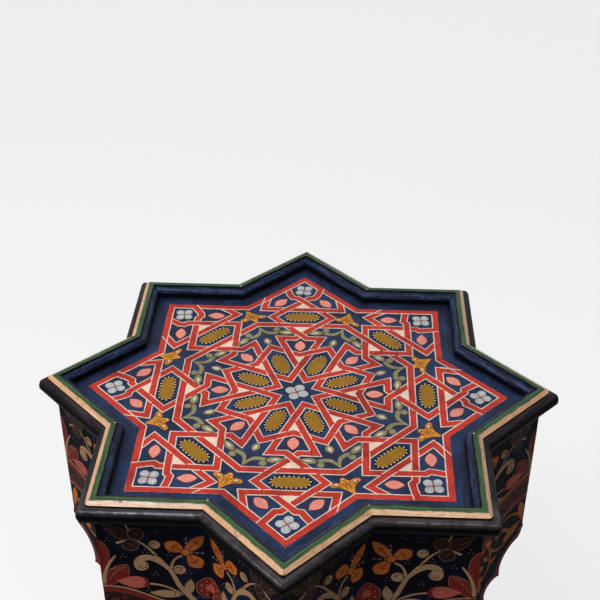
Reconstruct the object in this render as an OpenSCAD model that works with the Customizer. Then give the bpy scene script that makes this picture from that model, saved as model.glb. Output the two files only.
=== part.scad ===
// Eight-pointed star side table: sixteen mitred side boards with polylobed arches under the tips,
// legs at the inner corners, a thin star top, a stepped rim moulding and a half-round nosing.
// Z is up and the floor is at zero. The tips stand at every 45 degrees, starting on +X.

/* [Overall] */
// Height from the floor to the top of the rim moulding
table_h = 500; // [440:1:560]
// Distance from the centre to a tip of the body, on the outer faces of the side boards
body_tip_r = 232; // [215:1:250]

/* [Side boards] */
// Thickness of the side boards
board_t = 14; // [10:0.5:18]

/* [Arch] */
// Half the clear width of the arch between its legs, along one side board from the tip
arch_half_w = 54; // [50:0.5:60]
// Drop from the top of the side boards to the centre of the crown lobe
crown_drop = 203; // [185:1:225]
// Radius of the crown lobe
crown_r = 30; // [28:0.5:32]
// Height of the ogee point above the centre of the crown lobe
point_h = 38; // [36:0.5:39]
// Radius of the hollow flanks of the ogee point
flank_r = 14; // [13.5:0.1:16]
// Radius of the shoulder lobe
shoulder_r = 16; // [15:0.5:18]
// Drop from the crown's centre to the centre of the shoulder lobe
shoulder_drop = 24; // [22:0.5:26]
// Radius of the spring lobe, the lowest one
spring_r = 15; // [14:0.5:17]
// Drop from the crown's centre to the centre of the spring lobe
spring_drop = 51; // [48:0.5:53]
// How far the spring lobe bites into the leg
spring_bite = 4; // [2:0.5:6]
// How far the shoulder lobe's centre stands inside the spring lobe's centre
shoulder_in = 8; // [6:0.5:10]

/* [Top board] */
// Thickness of the top board
top_t = 8; // [7.5:0.5:14]
// How far the top board stands out past the side boards
top_overhang = 5.2; // [3:0.1:8]
// Depth of the rebate round the top board in which the rim moulding sits
rim_rebate = 1; // [0.5:0.1:1.5]

/* [Rim moulding] */
// Height of the rim moulding over the top board
rim_h = 12.4; // [11.5:0.1:15]
// Width of the sloping outer bevel
bevel_w = 4.4; // [3:0.1:6]
// Fall of the outer bevel
bevel_fall = 3; // [2:0.1:4]
// Width of the flat on top of the rim
flat_w = 5; // [4:0.1:7]
// Depth of the small step inside the flat
step_h = 2; // [1:0.1:3]
// Lean of the small step, from its top to its foot
step_lean = 0.5; // [0:0.1:1]
// Radius of the ovolo under the small step
ovolo_r = 5; // [3:0.1:6]
// Radius to which the tips of the bevel are sanded in plan
bevel_tip_round = 4; // [1:0.5:6]

/* [Nosing] */
// Radius of the half-round nosing
nosing_r = 7.6; // [7:0.1:8.3]
// By this much the ball to which the nosing is sanded at a tip is fuller than its half-round
nosing_tip_full = 0.8; // [0.1:0.1:1.5]
// Depth of the quirk between the bevel's edge and the top of the nosing
quirk_h = 2.2; // [1.5:0.1:3]

/* [Corner blocks] */
// Length of a corner block's two glued faces, in plan
block_leg = 28; // [20:1:36]
// Height of a corner block
block_h = 110; // [70:1:120]

/* [Nails] */
// Radius of the shanks of the nails that hold the top board
nail_r = 1; // [0.8:0.1:1.3]
// Radius of their heads
nail_head_r = 2.2; // [1.8:0.1:2.8]
// Thickness of their heads
nail_head_t = 0.8; // [0.5:0.1:1.2]
// How far they reach into the side boards
nail_bite = 24; // [18:1:34]
// Radius of the headless pins in the rim moulding and in the nosing
pin_r = 0.7; // [0.5:0.1:1]
// Depth of filler and paint over a pin
pin_cover = 0.8; // [0.6:0.1:1.5]
// How far a rim pin reaches into the top board
rim_pin_bite = 5; // [4:0.5:5.5]
// Distance of the rim pins from the outer edge of the top board
rim_pin_in = 4.6; // [4.4:0.1:6]
// How far a nosing pin reaches into the top board
nosing_pin_bite = 14; // [10:1:18]
// Clearance round each nail and pin
nail_fit = 0.05; // [0.02:0.01:0.1]
// Distance from a tip of the body to the near nail of the top board, along the side
nail_near = 30; // [24:1:36]
// Distance from a tip of the body to the far nail of the top board, along the side
nail_far = 72; // [70:1:80]
// Distance from a tip of the body to the near rim pin, along the side
rim_pin_near = 22; // [20:1:26]
// Distance from a tip of the body to the far rim pin, along the side
rim_pin_far = 80; // [76:1:84]
// Distance from a tip of the body to the near nosing pin, along the side
nosing_pin_near = 14; // [10:1:18]
// Distance from a tip of the body to the far nosing pin, along the side
nosing_pin_far = 62; // [56:1:66]

/* [Hidden] */
$fn = 64;
TIPS = 8;
TIP_STEP = 360 / TIPS;
HALF_STEP = TIP_STEP / 2;
SIDES = 2 * TIPS;
EPS = 1; // overshoot of cutting shapes

// Distances from the centre line to the straight sides, square to them
body_d = body_tip_r / sqrt(2);
top_d = body_d + top_overhang;
nosing_d = top_d + nosing_r;

// Heights over the floor
panel_z = table_h - rim_h;
rim_seat_z = panel_z - rim_rebate;
board_top = panel_z - top_t;
bevel_foot_z = table_h - bevel_fall;
nosing_top = bevel_foot_z - quirk_h;
nosing_z = nosing_top - nosing_r;
nosing_pin_z = panel_z - top_t / 2;

// Centres of the arch's lobes: along the board from its tip, and over the floor
crown_z = board_top - crown_drop;
spring_u = arch_half_w - spring_r + spring_bite;
spring_z = crown_z - spring_drop;
shoulder_u = spring_u - shoulder_in;
shoulder_z = crown_z - shoulder_drop;
leg_top_z = spring_z - sqrt(pow(spring_r, 2) - pow(arch_half_w - spring_u, 2));

// Centre of the ogee point's flank, which cuts a little into the crown lobe and passes through the point
flank_cut = 1;
flank_reach = crown_r + flank_r - flank_cut;
flank_dz = (pow(flank_reach, 2) - pow(flank_r, 2) + pow(point_h, 2)) / (2 * point_h);
flank_u = sqrt(pow(flank_reach, 2) - pow(flank_dz, 2));
flank_foot = crown_r / flank_reach; // share of the way to the flank's centre where the point starts

rim_in = bevel_w + flat_w + step_lean + ovolo_r;
reach = 2 * nosing_d; // longer than any side

function two_digits(i) = str(i < 10 ? "0" : "", i);
function names(stem, count) = [for (i = [1:count]) str(stem, two_digits(i))];

// The whole star in plan, as two crossed squares, with sides at this distance from the centre
module star(side_d) {
    square(2 * side_d, center = true);
    rotate(TIP_STEP) square(2 * side_d, center = true);
}

// Turns a shape made for the side from the +X tip to the first inner corner on to side i of sixteen
module on_side(i) {
    tip = floor(i / 2);
    if (i % 2 == 1) rotate([0, 0, tip * TIP_STEP]) children();
    else rotate([0, 0, tip * TIP_STEP]) mirror([0, 1, 0]) children();
}

// The sector of the table that belongs to one side: its two mitre planes meet at the centre line
module mitre_sector() {
    linear_extrude(height = 2 * table_h, center = true)
        polygon([[0, 0], [reach, 0], [reach * cos(HALF_STEP), reach * sin(HALF_STEP)]]);
}

// Sweeps a section along one side. The section's x is the distance from the centre line and y is up
module swept_side() {
    intersection() {
        rotate([90, 0, TIP_STEP]) linear_extrude(height = reach, center = true) children();
        mitre_sector();
    }
}

// Places a shape on the outer face of a side board: x runs from the tip, y is up, z points outward
module on_face() {
    translate([body_tip_r, 0, 0]) rotate([90, 0, 180 - TIP_STEP]) children();
}

// Stands a shape on one side, this far from the body's tip, and this far from the centre line
module at_side(from_tip, side_d) {
    rotate([0, 0, TIP_STEP]) translate([side_d, from_tip - body_d, 0]) children();
}

module ogee_point() {
    difference() {
        polygon([[-EPS, 0], [-EPS, flank_dz], [flank_u * flank_foot, flank_dz * flank_foot]]);
        translate([flank_u, flank_dz]) circle(flank_r);
    }
}

// Half of the polylobed arch, drawn on a side board's face from its tip
module half_arch() {
    translate([0, crown_z]) circle(crown_r);
    translate([0, crown_z]) ogee_point();
    translate([shoulder_u, shoulder_z]) circle(shoulder_r);
    translate([spring_u, spring_z]) circle(spring_r);
    polygon([
        [-EPS, -EPS],
        [arch_half_w, -EPS],
        [arch_half_w, leg_top_z],
        [spring_u, spring_z],
        [shoulder_u, shoulder_z],
        [0, crown_z],
        [-EPS, crown_z]
    ]);
}

module top_nail(grow = 0) {
    translate([0, 0, board_top - nail_bite - grow])
        cylinder(r = nail_r + grow, h = nail_bite + top_t - rim_rebate - nail_head_t + grow);
    translate([0, 0, rim_seat_z - nail_head_t]) cylinder(r = nail_head_r + grow, h = nail_head_t + grow);
}

module side_nails(grow = 0) {
    for (u = [nail_near, nail_far]) at_side(u, body_d - board_t / 2) top_nail(grow);
}

module side_rim_pins(grow = 0) {
    for (u = [rim_pin_near, rim_pin_far])
        at_side(u, top_d - rim_pin_in)
            translate([0, 0, rim_seat_z - rim_pin_bite - grow])
                cylinder(r = pin_r + grow, h = rim_pin_bite + rim_rebate + rim_h - pin_cover + 2 * grow);
}

// Pins through the nosing into the edge of the top board, square to the side
module side_nosing_pins(grow = 0) {
    depth = sqrt(pow(nosing_r, 2) - pow(nosing_z - nosing_pin_z + pin_r, 2)) - pin_cover;
    for (u = [nosing_pin_near, nosing_pin_far])
        at_side(u, top_d - nosing_pin_bite - grow)
            translate([0, 0, nosing_pin_z])
                rotate([0, 90, 0]) cylinder(r = pin_r + grow, h = nosing_pin_bite + depth + 2 * grow);
}

module side_board() {
    difference() {
        swept_side() translate([body_d - board_t, 0]) square([board_t, board_top]);
        on_face() translate([0, 0, -board_t - EPS]) linear_extrude(height = board_t + 2 * EPS) half_arch();
        side_nails(nail_fit);
    }
}

module corner_block() {
    corner_r = body_tip_r - board_t * sqrt(2);
    step = block_leg / sqrt(2);
    translate([0, 0, board_top - block_h])
        linear_extrude(height = block_h)
            polygon([[corner_r, 0], [corner_r - step, step], [corner_r - step, -step]]);
}

module top_board() {
    color("midnightblue") difference() {
        union() {
            translate([0, 0, board_top]) linear_extrude(height = top_t - rim_rebate) star(top_d);
            translate([0, 0, board_top]) linear_extrude(height = top_t) star(top_d - rim_in);
        }
        for (i = [1:SIDES]) on_side(i) {
            side_nails(nail_fit);
            side_rim_pins(nail_fit);
            side_nosing_pins(nail_fit);
        }
    }
}

// Section of the rim moulding: bevel, flat, small step, ovolo and riser
module rim_section() {
    flat_in = top_d - bevel_w - flat_w;
    ovolo_x = flat_in - step_lean;
    ovolo_z = table_h - step_h - ovolo_r;
    polygon([
        [top_d, rim_seat_z],
        [top_d, bevel_foot_z],
        [top_d - bevel_w, table_h],
        [flat_in, table_h],
        [ovolo_x, table_h - step_h],
        [ovolo_x, ovolo_z],
        [top_d - rim_in, ovolo_z],
        [top_d - rim_in, rim_seat_z]
    ]);
    intersection() {
        translate([ovolo_x, ovolo_z]) circle(ovolo_r);
        translate([ovolo_x - ovolo_r, ovolo_z]) square(ovolo_r);
    }
}

// What sanding takes off the bevel at a tip, in plan
module bevel_waste() {
    tip_r = top_d * sqrt(2);
    centre_r = tip_r - bevel_tip_round * sqrt(2);
    step = bevel_tip_round / sqrt(2);
    difference() {
        polygon([
            [centre_r, 0],
            [centre_r + step, step],
            [tip_r + EPS, EPS],
            [tip_r + EPS, -EPS],
            [centre_r + step, -step]
        ]);
        translate([centre_r, 0]) circle(bevel_tip_round);
    }
}

module rim_moulding() {
    difference() {
        swept_side() rim_section();
        translate([0, 0, nosing_top]) linear_extrude(height = rim_h) bevel_waste();
        side_rim_pins(nail_fit);
    }
}

module nosing_section() {
    intersection() {
        translate([top_d, nosing_z]) circle(nosing_r);
        translate([top_d, nosing_z - nosing_r]) square([nosing_r, 2 * nosing_r]);
    }
}

// What sanding takes off the nosing at a tip: all past the corner of the top board, but a ball about it
module nosing_waste() {
    size = nosing_r + EPS;
    difference() {
        rotate([0, 0, TIP_STEP])
            translate([top_d, -top_d - size, nosing_z - size]) cube([size, size, 2 * size]);
        translate([top_d * sqrt(2), 0, nosing_z]) sphere(nosing_r + nosing_tip_full);
    }
}

module nosing() {
    difference() {
        swept_side() nosing_section();
        nosing_waste();
        side_nosing_pins(nail_fit);
    }
}

top_board();

for (i = [1:SIDES]) {
    color("darkslateblue") on_side(i) side_board();
    color("seagreen") on_side(i) rim_moulding();
    color("black") on_side(i) nosing();
}

for (i = [1:TIPS])
    color("burlywood") rotate([0, 0, i * TIP_STEP]) corner_block();

color("gray") for (i = [1:SIDES]) on_side(i) side_nails();  // top_nails
color("gray") for (i = [1:SIDES]) on_side(i) side_rim_pins();  // rim_pins
color("gray") for (i = [1:SIDES]) on_side(i) side_nosing_pins();  // nosing_pins
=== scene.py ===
"""Dresses the eight-pointed star side table: painted panel, mouldings, painted sides and studio.

Lengths named in the classes are millimetres, except in the studio, and the meshes are written in
metres. Fields that end in _scale are features of a noise per metre. Paint is laid as closed thin
films that stand up to half a millimetre proud of the boards.
"""

import logging
import math
from collections.abc import Callable, Iterable, Sequence
from dataclasses import dataclass, field
from enum import Enum
from typing import ClassVar, Protocol

import bmesh
import bpy
from mathutils import Matrix, Vector, noise


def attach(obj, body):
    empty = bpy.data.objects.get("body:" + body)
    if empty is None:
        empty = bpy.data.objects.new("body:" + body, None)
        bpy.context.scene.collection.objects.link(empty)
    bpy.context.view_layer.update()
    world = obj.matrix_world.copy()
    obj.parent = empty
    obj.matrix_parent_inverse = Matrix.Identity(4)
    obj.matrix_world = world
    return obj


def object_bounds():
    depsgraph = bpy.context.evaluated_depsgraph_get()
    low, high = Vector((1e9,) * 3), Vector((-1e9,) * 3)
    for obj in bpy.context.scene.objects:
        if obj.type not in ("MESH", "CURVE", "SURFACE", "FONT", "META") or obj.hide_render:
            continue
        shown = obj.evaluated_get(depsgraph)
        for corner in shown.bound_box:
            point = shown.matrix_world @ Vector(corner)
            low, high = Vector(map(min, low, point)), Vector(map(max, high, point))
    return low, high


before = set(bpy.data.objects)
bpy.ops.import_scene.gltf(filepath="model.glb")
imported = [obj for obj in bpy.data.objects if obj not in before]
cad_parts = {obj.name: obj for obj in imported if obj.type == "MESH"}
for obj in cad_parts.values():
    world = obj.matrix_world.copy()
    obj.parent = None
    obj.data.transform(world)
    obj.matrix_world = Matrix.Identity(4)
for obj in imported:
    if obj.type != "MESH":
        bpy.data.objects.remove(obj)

CAD_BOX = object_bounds()
ROOT = "root"
MM = 0.001
FILM_FOOT = -0.06  # depth of every film's underside, mm
FIRST_COAT = 0.03  # height of the first coat of paint, mm
COAT = 0.05  # height that each later coat adds, mm
HAIR = 0.006  # by this much strokes of one coat differ, so that no two lie in one plane, mm
HAIRS = 7  # strokes after which the heights of one coat repeat
MITRE_COSINE = 0.35  # a mitre divides by no less, so that a sharp corner grows no long point
OVER = HAIR * HAIRS / COAT  # share of a coat that clears every stroke of the coat below
SIDE_GLOSS = 0.015  # how much the paint on the sides shines
NOISE_LOW, NOISE_HIGH = 0.3, 0.7  # what the values of a noise lie between
Point = tuple[float, float]
Spot = tuple[float, float, float]
Colour = tuple[float, float, float]
Place = Callable[[float, float, float], Vector]
Value = bpy.types.NodeSocket | float | Colour

log = logging.getLogger("star_table")


class Slot(Enum):
    """Names of the record's material slots, which each paint film keeps."""

    PANEL = "painted_panel"
    SIDES = "painted_sides"
    RIM = "painted_rim"


def linear(red: float, green: float, blue: float) -> Colour:
    """Turns a display colour into the linear one that shaders take.

    Args:
        red: Red, 0 to 255.
        green: Green, 0 to 255.
        blue: Blue, 0 to 255.

    Returns:
        The linear colour, 0 to 1.
    """

    def one(value: float) -> float:
        """Straightens one channel."""
        v = value / 255
        return v / 12.92 if v <= 0.04045 else ((v + 0.055) / 1.055) ** 2.4

    return one(red), one(green), one(blue)


@dataclass(frozen=True)
class TablePlan:
    """Main sizes of the table in millimetres, as the frame has them."""

    table_h: float = round(CAD_BOX[1][2] / MM, 2)
    body_tip_r: float = 232.0
    board_t: float = 14.0
    top_overhang: float = 5.2
    rim_h: float = 12.4
    bevel_w: float = 4.4
    bevel_fall: float = 3.0
    flat_w: float = 5.0
    ovolo_w: float = 5.5
    quirk_h: float = 2.2
    nosing_r: float = 7.6
    pattern_r: float = 200.0
    sides: int = 16
    tips: int = 8

    @property
    def panel_z(self) -> float:
        """Height of the panel over the floor."""
        return self.table_h - self.rim_h

    @property
    def nosing_z(self) -> float:
        """Height of the nosing's axis over the floor."""
        return self.table_h - self.bevel_fall - self.quirk_h - self.nosing_r

    @property
    def tip_step(self) -> float:
        """Angle from one tip to the next."""
        return 2 * math.pi / self.tips

    @property
    def side_step(self) -> float:
        """Angle that one side covers."""
        return 2 * math.pi / self.sides

    @property
    def valley_share(self) -> float:
        """Radius of an inner corner as a share of its tip's radius."""
        return math.cos(self.tip_step) / math.cos(self.side_step)

    def top_r(self, inward: float = 0.0) -> float:
        """Gives the tip radius of the top's outline, moved inward by a distance."""
        return self.body_tip_r + (self.top_overhang - inward) * math.sqrt(2)

    @property
    def side_length(self) -> float:
        """Length of one side of the body, from its tip to its inner corner."""
        tip, valley, _ = self.side_frame(1)
        return (valley - tip).length

    def side_frame(self, side: int) -> tuple[Vector, Vector, Vector]:
        """Finds where a side stands in plan.

        Args:
            side: Number of the side, from 1.

        Returns:
            Its tip, its inner corner and its outward normal.
        """
        radius = self.body_tip_r
        first, last = (side - 1) * self.side_step, side * self.side_step
        at_tip, at_valley = (first, last) if side % 2 else (last, first)
        tip = Vector((math.cos(at_tip), math.sin(at_tip), 0)) * radius
        valley = Vector((math.cos(at_valley), math.sin(at_valley), 0)) * radius * self.valley_share
        along = (valley - tip).normalized()
        normal = Vector((along.y, -along.x, 0))
        if normal.dot(tip + valley) < 0:
            normal.negate()
        return tip, valley, normal

    def on_side(self, side: int) -> Place:
        """Makes the placing rule of a side board's face.

        Args:
            side: Number of the side, from 1.

        Returns:
            A rule from distance to the tip, drop under the panel and height of film to metres.
        """
        tip, valley, normal = self.side_frame(side)
        along = (valley - tip).normalized()

        def place(u: float, drop: float, proud: float) -> Vector:
            """Places one point of the face.

            Args:
                u: Its distance from the tip edge.
                drop: Its drop under the panel.
                proud: Its height over the board's face.

            Returns:
                The point in metres.
            """
            spot = tip + along * u + normal * proud
            spot.z = self.panel_z - drop
            return spot * MM

        return place


PLAN = TablePlan()


class Nodes:
    """A node tree, with short ways to add what the materials and the world share."""

    def __init__(self, tree: bpy.types.NodeTree) -> None:
        """Takes the tree to fill."""
        self.tree = tree

    def add(self, kind: str, **settings: str) -> bpy.types.Node:
        """Adds a node.

        Args:
            kind: The node's type.
            **settings: Properties to set on it.

        Returns:
            The node.
        """
        node = self.tree.nodes.new(kind)
        for key, value in settings.items():
            setattr(node, key, value)
        return node

    def join(self, value: Value, socket: bpy.types.NodeSocket) -> None:
        """Links a socket, or sets a constant, on a node's input.

        Args:
            value: The socket, number or colour.
            socket: The input.
        """
        if isinstance(value, bpy.types.NodeSocket):
            self.tree.links.new(value, socket)
        elif isinstance(value, tuple) and len(value) == 3 and socket.type == "RGBA":
            socket.default_value = (*value, 1.0)
        else:
            socket.default_value = value

    def math(self, operation: str, first: Value, second: Value = 0.0) -> bpy.types.NodeSocket:
        """Adds a math node.

        Args:
            operation: What it works out.
            first: Its first value.
            second: Its second value.

        Returns:
            Its result.
        """
        node = self.add("ShaderNodeMath", operation=operation)
        self.join(first, node.inputs[0])
        self.join(second, node.inputs[1])
        return node.outputs[0]

    def span(
        self,
        value: Value,
        low: float,
        high: float,
        to_low: float = 0.0,
        to_high: float = 1.0,
        curve: str = "SMOOTHSTEP",
    ) -> bpy.types.NodeSocket:
        """Maps one range to another, clamped at both ends.

        Args:
            value: What is mapped.
            low: Start of its range.
            high: End of its range.
            to_low: What the start becomes.
            to_high: What the end becomes.
            curve: Way from the one to the other.

        Returns:
            The mapped value.
        """
        node = self.add("ShaderNodeMapRange", interpolation_type=curve)
        self.join(value, node.inputs["Value"])
        node.inputs["From Min"].default_value = low
        node.inputs["From Max"].default_value = high
        node.inputs["To Min"].default_value = to_low
        node.inputs["To Max"].default_value = to_high
        return node.outputs["Result"]

    def axis(self, name: str, vector: bpy.types.NodeSocket) -> bpy.types.NodeSocket:
        """Gives one coordinate of a vector.

        Args:
            name: The coordinate, X, Y or Z.
            vector: The vector.

        Returns:
            Its value.
        """
        split = self.add("ShaderNodeSeparateXYZ")
        self.join(vector, split.inputs[0])
        return split.outputs[name]

    def background_rays(self) -> bpy.types.NodeSocket:
        """Tells which rays show the background: straight on, mirrored or through glass.

        Returns:
            1 for such a ray, and 0 for others.
        """
        rays = self.add("ShaderNodeLightPath")
        found = rays.outputs["Is Camera Ray"]
        for kind in ("Is Glossy Ray", "Is Transmission Ray"):
            found = self.math("MAXIMUM", found, rays.outputs[kind])
        return found


class Shader(Nodes):
    """A material's node tree, with the fields and the surface that the finishes share."""

    def __init__(self, name: str) -> None:
        """Starts a material with its surface shader.

        Args:
            name: Name of the material.
        """
        self.material = bpy.data.materials.new(name)
        self.material.use_nodes = True
        super().__init__(self.material.node_tree)
        self.surface = self.tree.nodes["Principled BSDF"]

    def position(self, stretch: Spot = (1.0, 1.0, 1.0), turn: float = 0.0) -> bpy.types.NodeSocket:
        """Gives object coordinates in metres.

        Args:
            stretch: Scale along each axis, after the turn.
            turn: Angle by which they are turned about Z.

        Returns:
            The coordinates.
        """
        coordinates = self.add("ShaderNodeTexCoord").outputs["Object"]
        if stretch == (1.0, 1.0, 1.0) and turn == 0.0:
            return coordinates
        mapping = self.add("ShaderNodeMapping")
        mapping.inputs["Rotation"].default_value = (0.0, 0.0, turn)
        mapping.inputs["Scale"].default_value = stretch
        self.join(coordinates, mapping.inputs["Vector"])
        return mapping.outputs["Vector"]

    def noise(
        self,
        scale: float,
        detail: float = 3.0,
        roughness: float = 0.55,
        vector: bpy.types.NodeSocket | None = None,
        distortion: float = 0.0,
    ) -> bpy.types.NodeSocket:
        """Adds a noise field.

        Args:
            scale: Features per metre.
            detail: Octaves.
            roughness: Weight of the finer octaves.
            vector: Where it is read, object coordinates if not given.
            distortion: How much it swirls.

        Returns:
            Its value, about NOISE_LOW to NOISE_HIGH.
        """
        node = self.add("ShaderNodeTexNoise")
        self.join(vector or self.position(), node.inputs["Vector"])
        node.inputs["Scale"].default_value = scale
        node.inputs["Detail"].default_value = detail
        node.inputs["Roughness"].default_value = roughness
        node.inputs["Distortion"].default_value = distortion
        return node.outputs["Fac"]

    def spread(self, value: Value, least: float, most: float) -> bpy.types.NodeSocket:
        """Maps the whole range of a noise to another."""
        return self.span(value, NOISE_LOW, NOISE_HIGH, least, most)

    def mix(self, factor: Value, first: Value, second: Value) -> bpy.types.NodeSocket:
        """Mixes two colours.

        Args:
            factor: Share of the second one.
            first: The one colour.
            second: The other colour.

        Returns:
            The mixed colour.
        """
        node = self.add("ShaderNodeMix", data_type="RGBA")
        self.join(factor, node.inputs[0])
        self.join(first, node.inputs[6])
        self.join(second, node.inputs[7])
        return node.outputs[2]

    def star_radius(self) -> bpy.types.NodeSocket:
        """Finds the star outline that passes through each point.

        Returns:
            Its tip radius in metres.
        """
        here = self.position()
        x = self.math("ABSOLUTE", self.axis("X", here))
        y = self.math("ABSOLUTE", self.axis("Y", here))
        square = self.math("MAXIMUM", x, y)
        diamond = self.math("MULTIPLY", self.math("ADD", x, y), math.sqrt(0.5))
        return self.math("MULTIPLY", self.math("MINIMUM", square, diamond), math.sqrt(2))

    def along_star(self, scale: float, stretch: float = 0.07) -> bpy.types.NodeSocket:
        """Makes streaks that run along the sides of the star, as a brush follows them.

        Args:
            scale: Streaks per metre.
            stretch: Their width as a share of their length.

        Returns:
            Their value, about NOISE_LOW to NOISE_HIGH.
        """
        place = self.add("ShaderNodeCombineXYZ")
        drawn = self.position((stretch, stretch, 0.5))
        self.join(self.star_radius(), place.inputs["X"])
        self.join(self.math("ADD", self.axis("X", drawn), self.axis("Z", drawn)), place.inputs["Y"])
        self.join(self.axis("Y", drawn), place.inputs["Z"])
        return self.noise(scale, 4.0, 0.6, place.outputs[0])

    def height(self) -> bpy.types.NodeSocket:
        """Gives the height over the floor in metres."""
        return self.axis("Z", self.position())

    def bump(self, height: Value, distance: float) -> None:
        """Sets the surface's bump from a height field.

        Args:
            height: The field.
            distance: How high it is at 1, in millimetres.
        """
        node = self.add("ShaderNodeBump")
        node.inputs["Strength"].default_value = 1.0
        node.inputs["Distance"].default_value = distance * MM
        self.join(height, node.inputs["Height"])
        self.join(node.outputs["Normal"], self.surface.inputs["Normal"])

    def finish(self, colour: Value, roughness: Value, specular: float) -> bpy.types.Material:
        """Joins colour and roughness to the surface.

        Args:
            colour: Its base colour.
            roughness: Its roughness.
            specular: How much it shines.

        Returns:
            The material.
        """
        self.join(colour, self.surface.inputs["Base Color"])
        self.join(roughness, self.surface.inputs["Roughness"])
        self.surface.inputs["Specular IOR Level"].default_value = specular
        return self.material


class Finish(Protocol):
    """What every finish can do."""

    def material(self) -> bpy.types.Material:
        """Builds the finish's material."""


@dataclass(frozen=True)
class Paint:
    """A brushed, varnished paint that shows strokes, thin spots and a little dirt."""

    name: str
    colour: Colour
    thin: Colour
    dark: Colour
    roughness: float = 0.42
    stroke_scale: float = 420.0
    patch_scale: float = 38.0
    speck_scale: float = 760.0
    specular: float = 0.14
    wear: float = 0.4
    relief: float = 0.05

    def material(self) -> bpy.types.Material:
        """Builds the paint's material.

        Returns:
            The material.
        """
        shader = Shader(self.name)
        strokes = shader.noise(self.stroke_scale, 4.0, 0.6, shader.position((1.0, 0.35, 1.0), 0.5))
        patches = shader.noise(self.patch_scale, 3.0, 0.6)
        specks = shader.noise(self.speck_scale, 3.0, 0.65)
        colour = shader.mix(shader.span(strokes, 0.42, 0.7, 0.0, 0.55), self.colour, self.thin)
        colour = shader.mix(shader.span(patches, 0.42, 0.7, 0.0, self.wear), colour, self.dark)
        colour = shader.mix(shader.span(specks, 0.48, 0.66, 0.0, self.wear), colour, self.dark)
        rough = shader.spread(strokes, self.roughness - 0.06, self.roughness + 0.1)
        shader.bump(shader.math("ADD", strokes, shader.math("MULTIPLY", specks, 0.4)), self.relief)
        return shader.finish(colour, rough, self.specular)


@dataclass(frozen=True)
class PanelBlue:
    """The blue ground of the panel, brushed on and worn by use, with painted shade that darkens it against
    the rim.
    """

    name: str = "panel_blue"
    light: Colour = linear(38, 60, 100)
    mid: Colour = linear(31, 47, 80)
    deep: Colour = linear(22, 28, 48)
    black: Colour = linear(12, 14, 26)
    margin: float = 3.0
    shade_in: float = 6.0
    shade_out: float = 3.0
    painted_shade: float = 0.72
    stroke_scale: float = 210.0
    cloud_scale: float = 26.0
    streak_scale: float = 420.0
    unevenness: float = 6.0
    relief: float = 0.09
    specular: float = 0.16

    def material(self) -> bpy.types.Material:
        """Builds the ground's material.

        Returns:
            The material.
        """
        shader = Shader(self.name)
        strokes = shader.noise(self.stroke_scale, 5.0, 0.62, shader.position((1.0, 0.28, 1.0), 0.9))
        clouds = shader.noise(self.cloud_scale, 3.0, 0.6)
        colour = shader.mix(shader.span(strokes, 0.4, 0.66), self.mid, self.light)
        colour = shader.mix(shader.span(clouds, 0.38, 0.66, 0.0, 0.8), colour, self.deep)
        along = shader.along_star(self.streak_scale)
        radius = shader.star_radius()
        outside = shader.span(radius, PLAN.pattern_r * MM, (PLAN.pattern_r + self.margin) * MM)
        streaks = shader.math("MULTIPLY", shader.span(along, 0.5, 0.62, 0.0, 0.8), outside)
        colour = shader.mix(streaks, colour, self.black)
        # Painted shade: within a few millimetres of the rim's foot the ground turns towards black, where the
        # rim shades the panel.
        rim_r = PLAN.top_r(PLAN.bevel_w + PLAN.flat_w + PLAN.ovolo_w)
        uneven = shader.math("ADD", radius, shader.math("MULTIPLY", clouds, self.unevenness * MM))
        start, end = (rim_r - self.shade_in) * MM, (rim_r + self.shade_out) * MM
        edge = shader.span(uneven, start, end, 0.0, self.painted_shade)
        colour = shader.mix(edge, colour, self.black)
        rough = shader.spread(strokes, 0.4, 0.56)
        shader.bump(strokes, self.relief)
        return shader.finish(colour, rough, self.specular)


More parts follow.
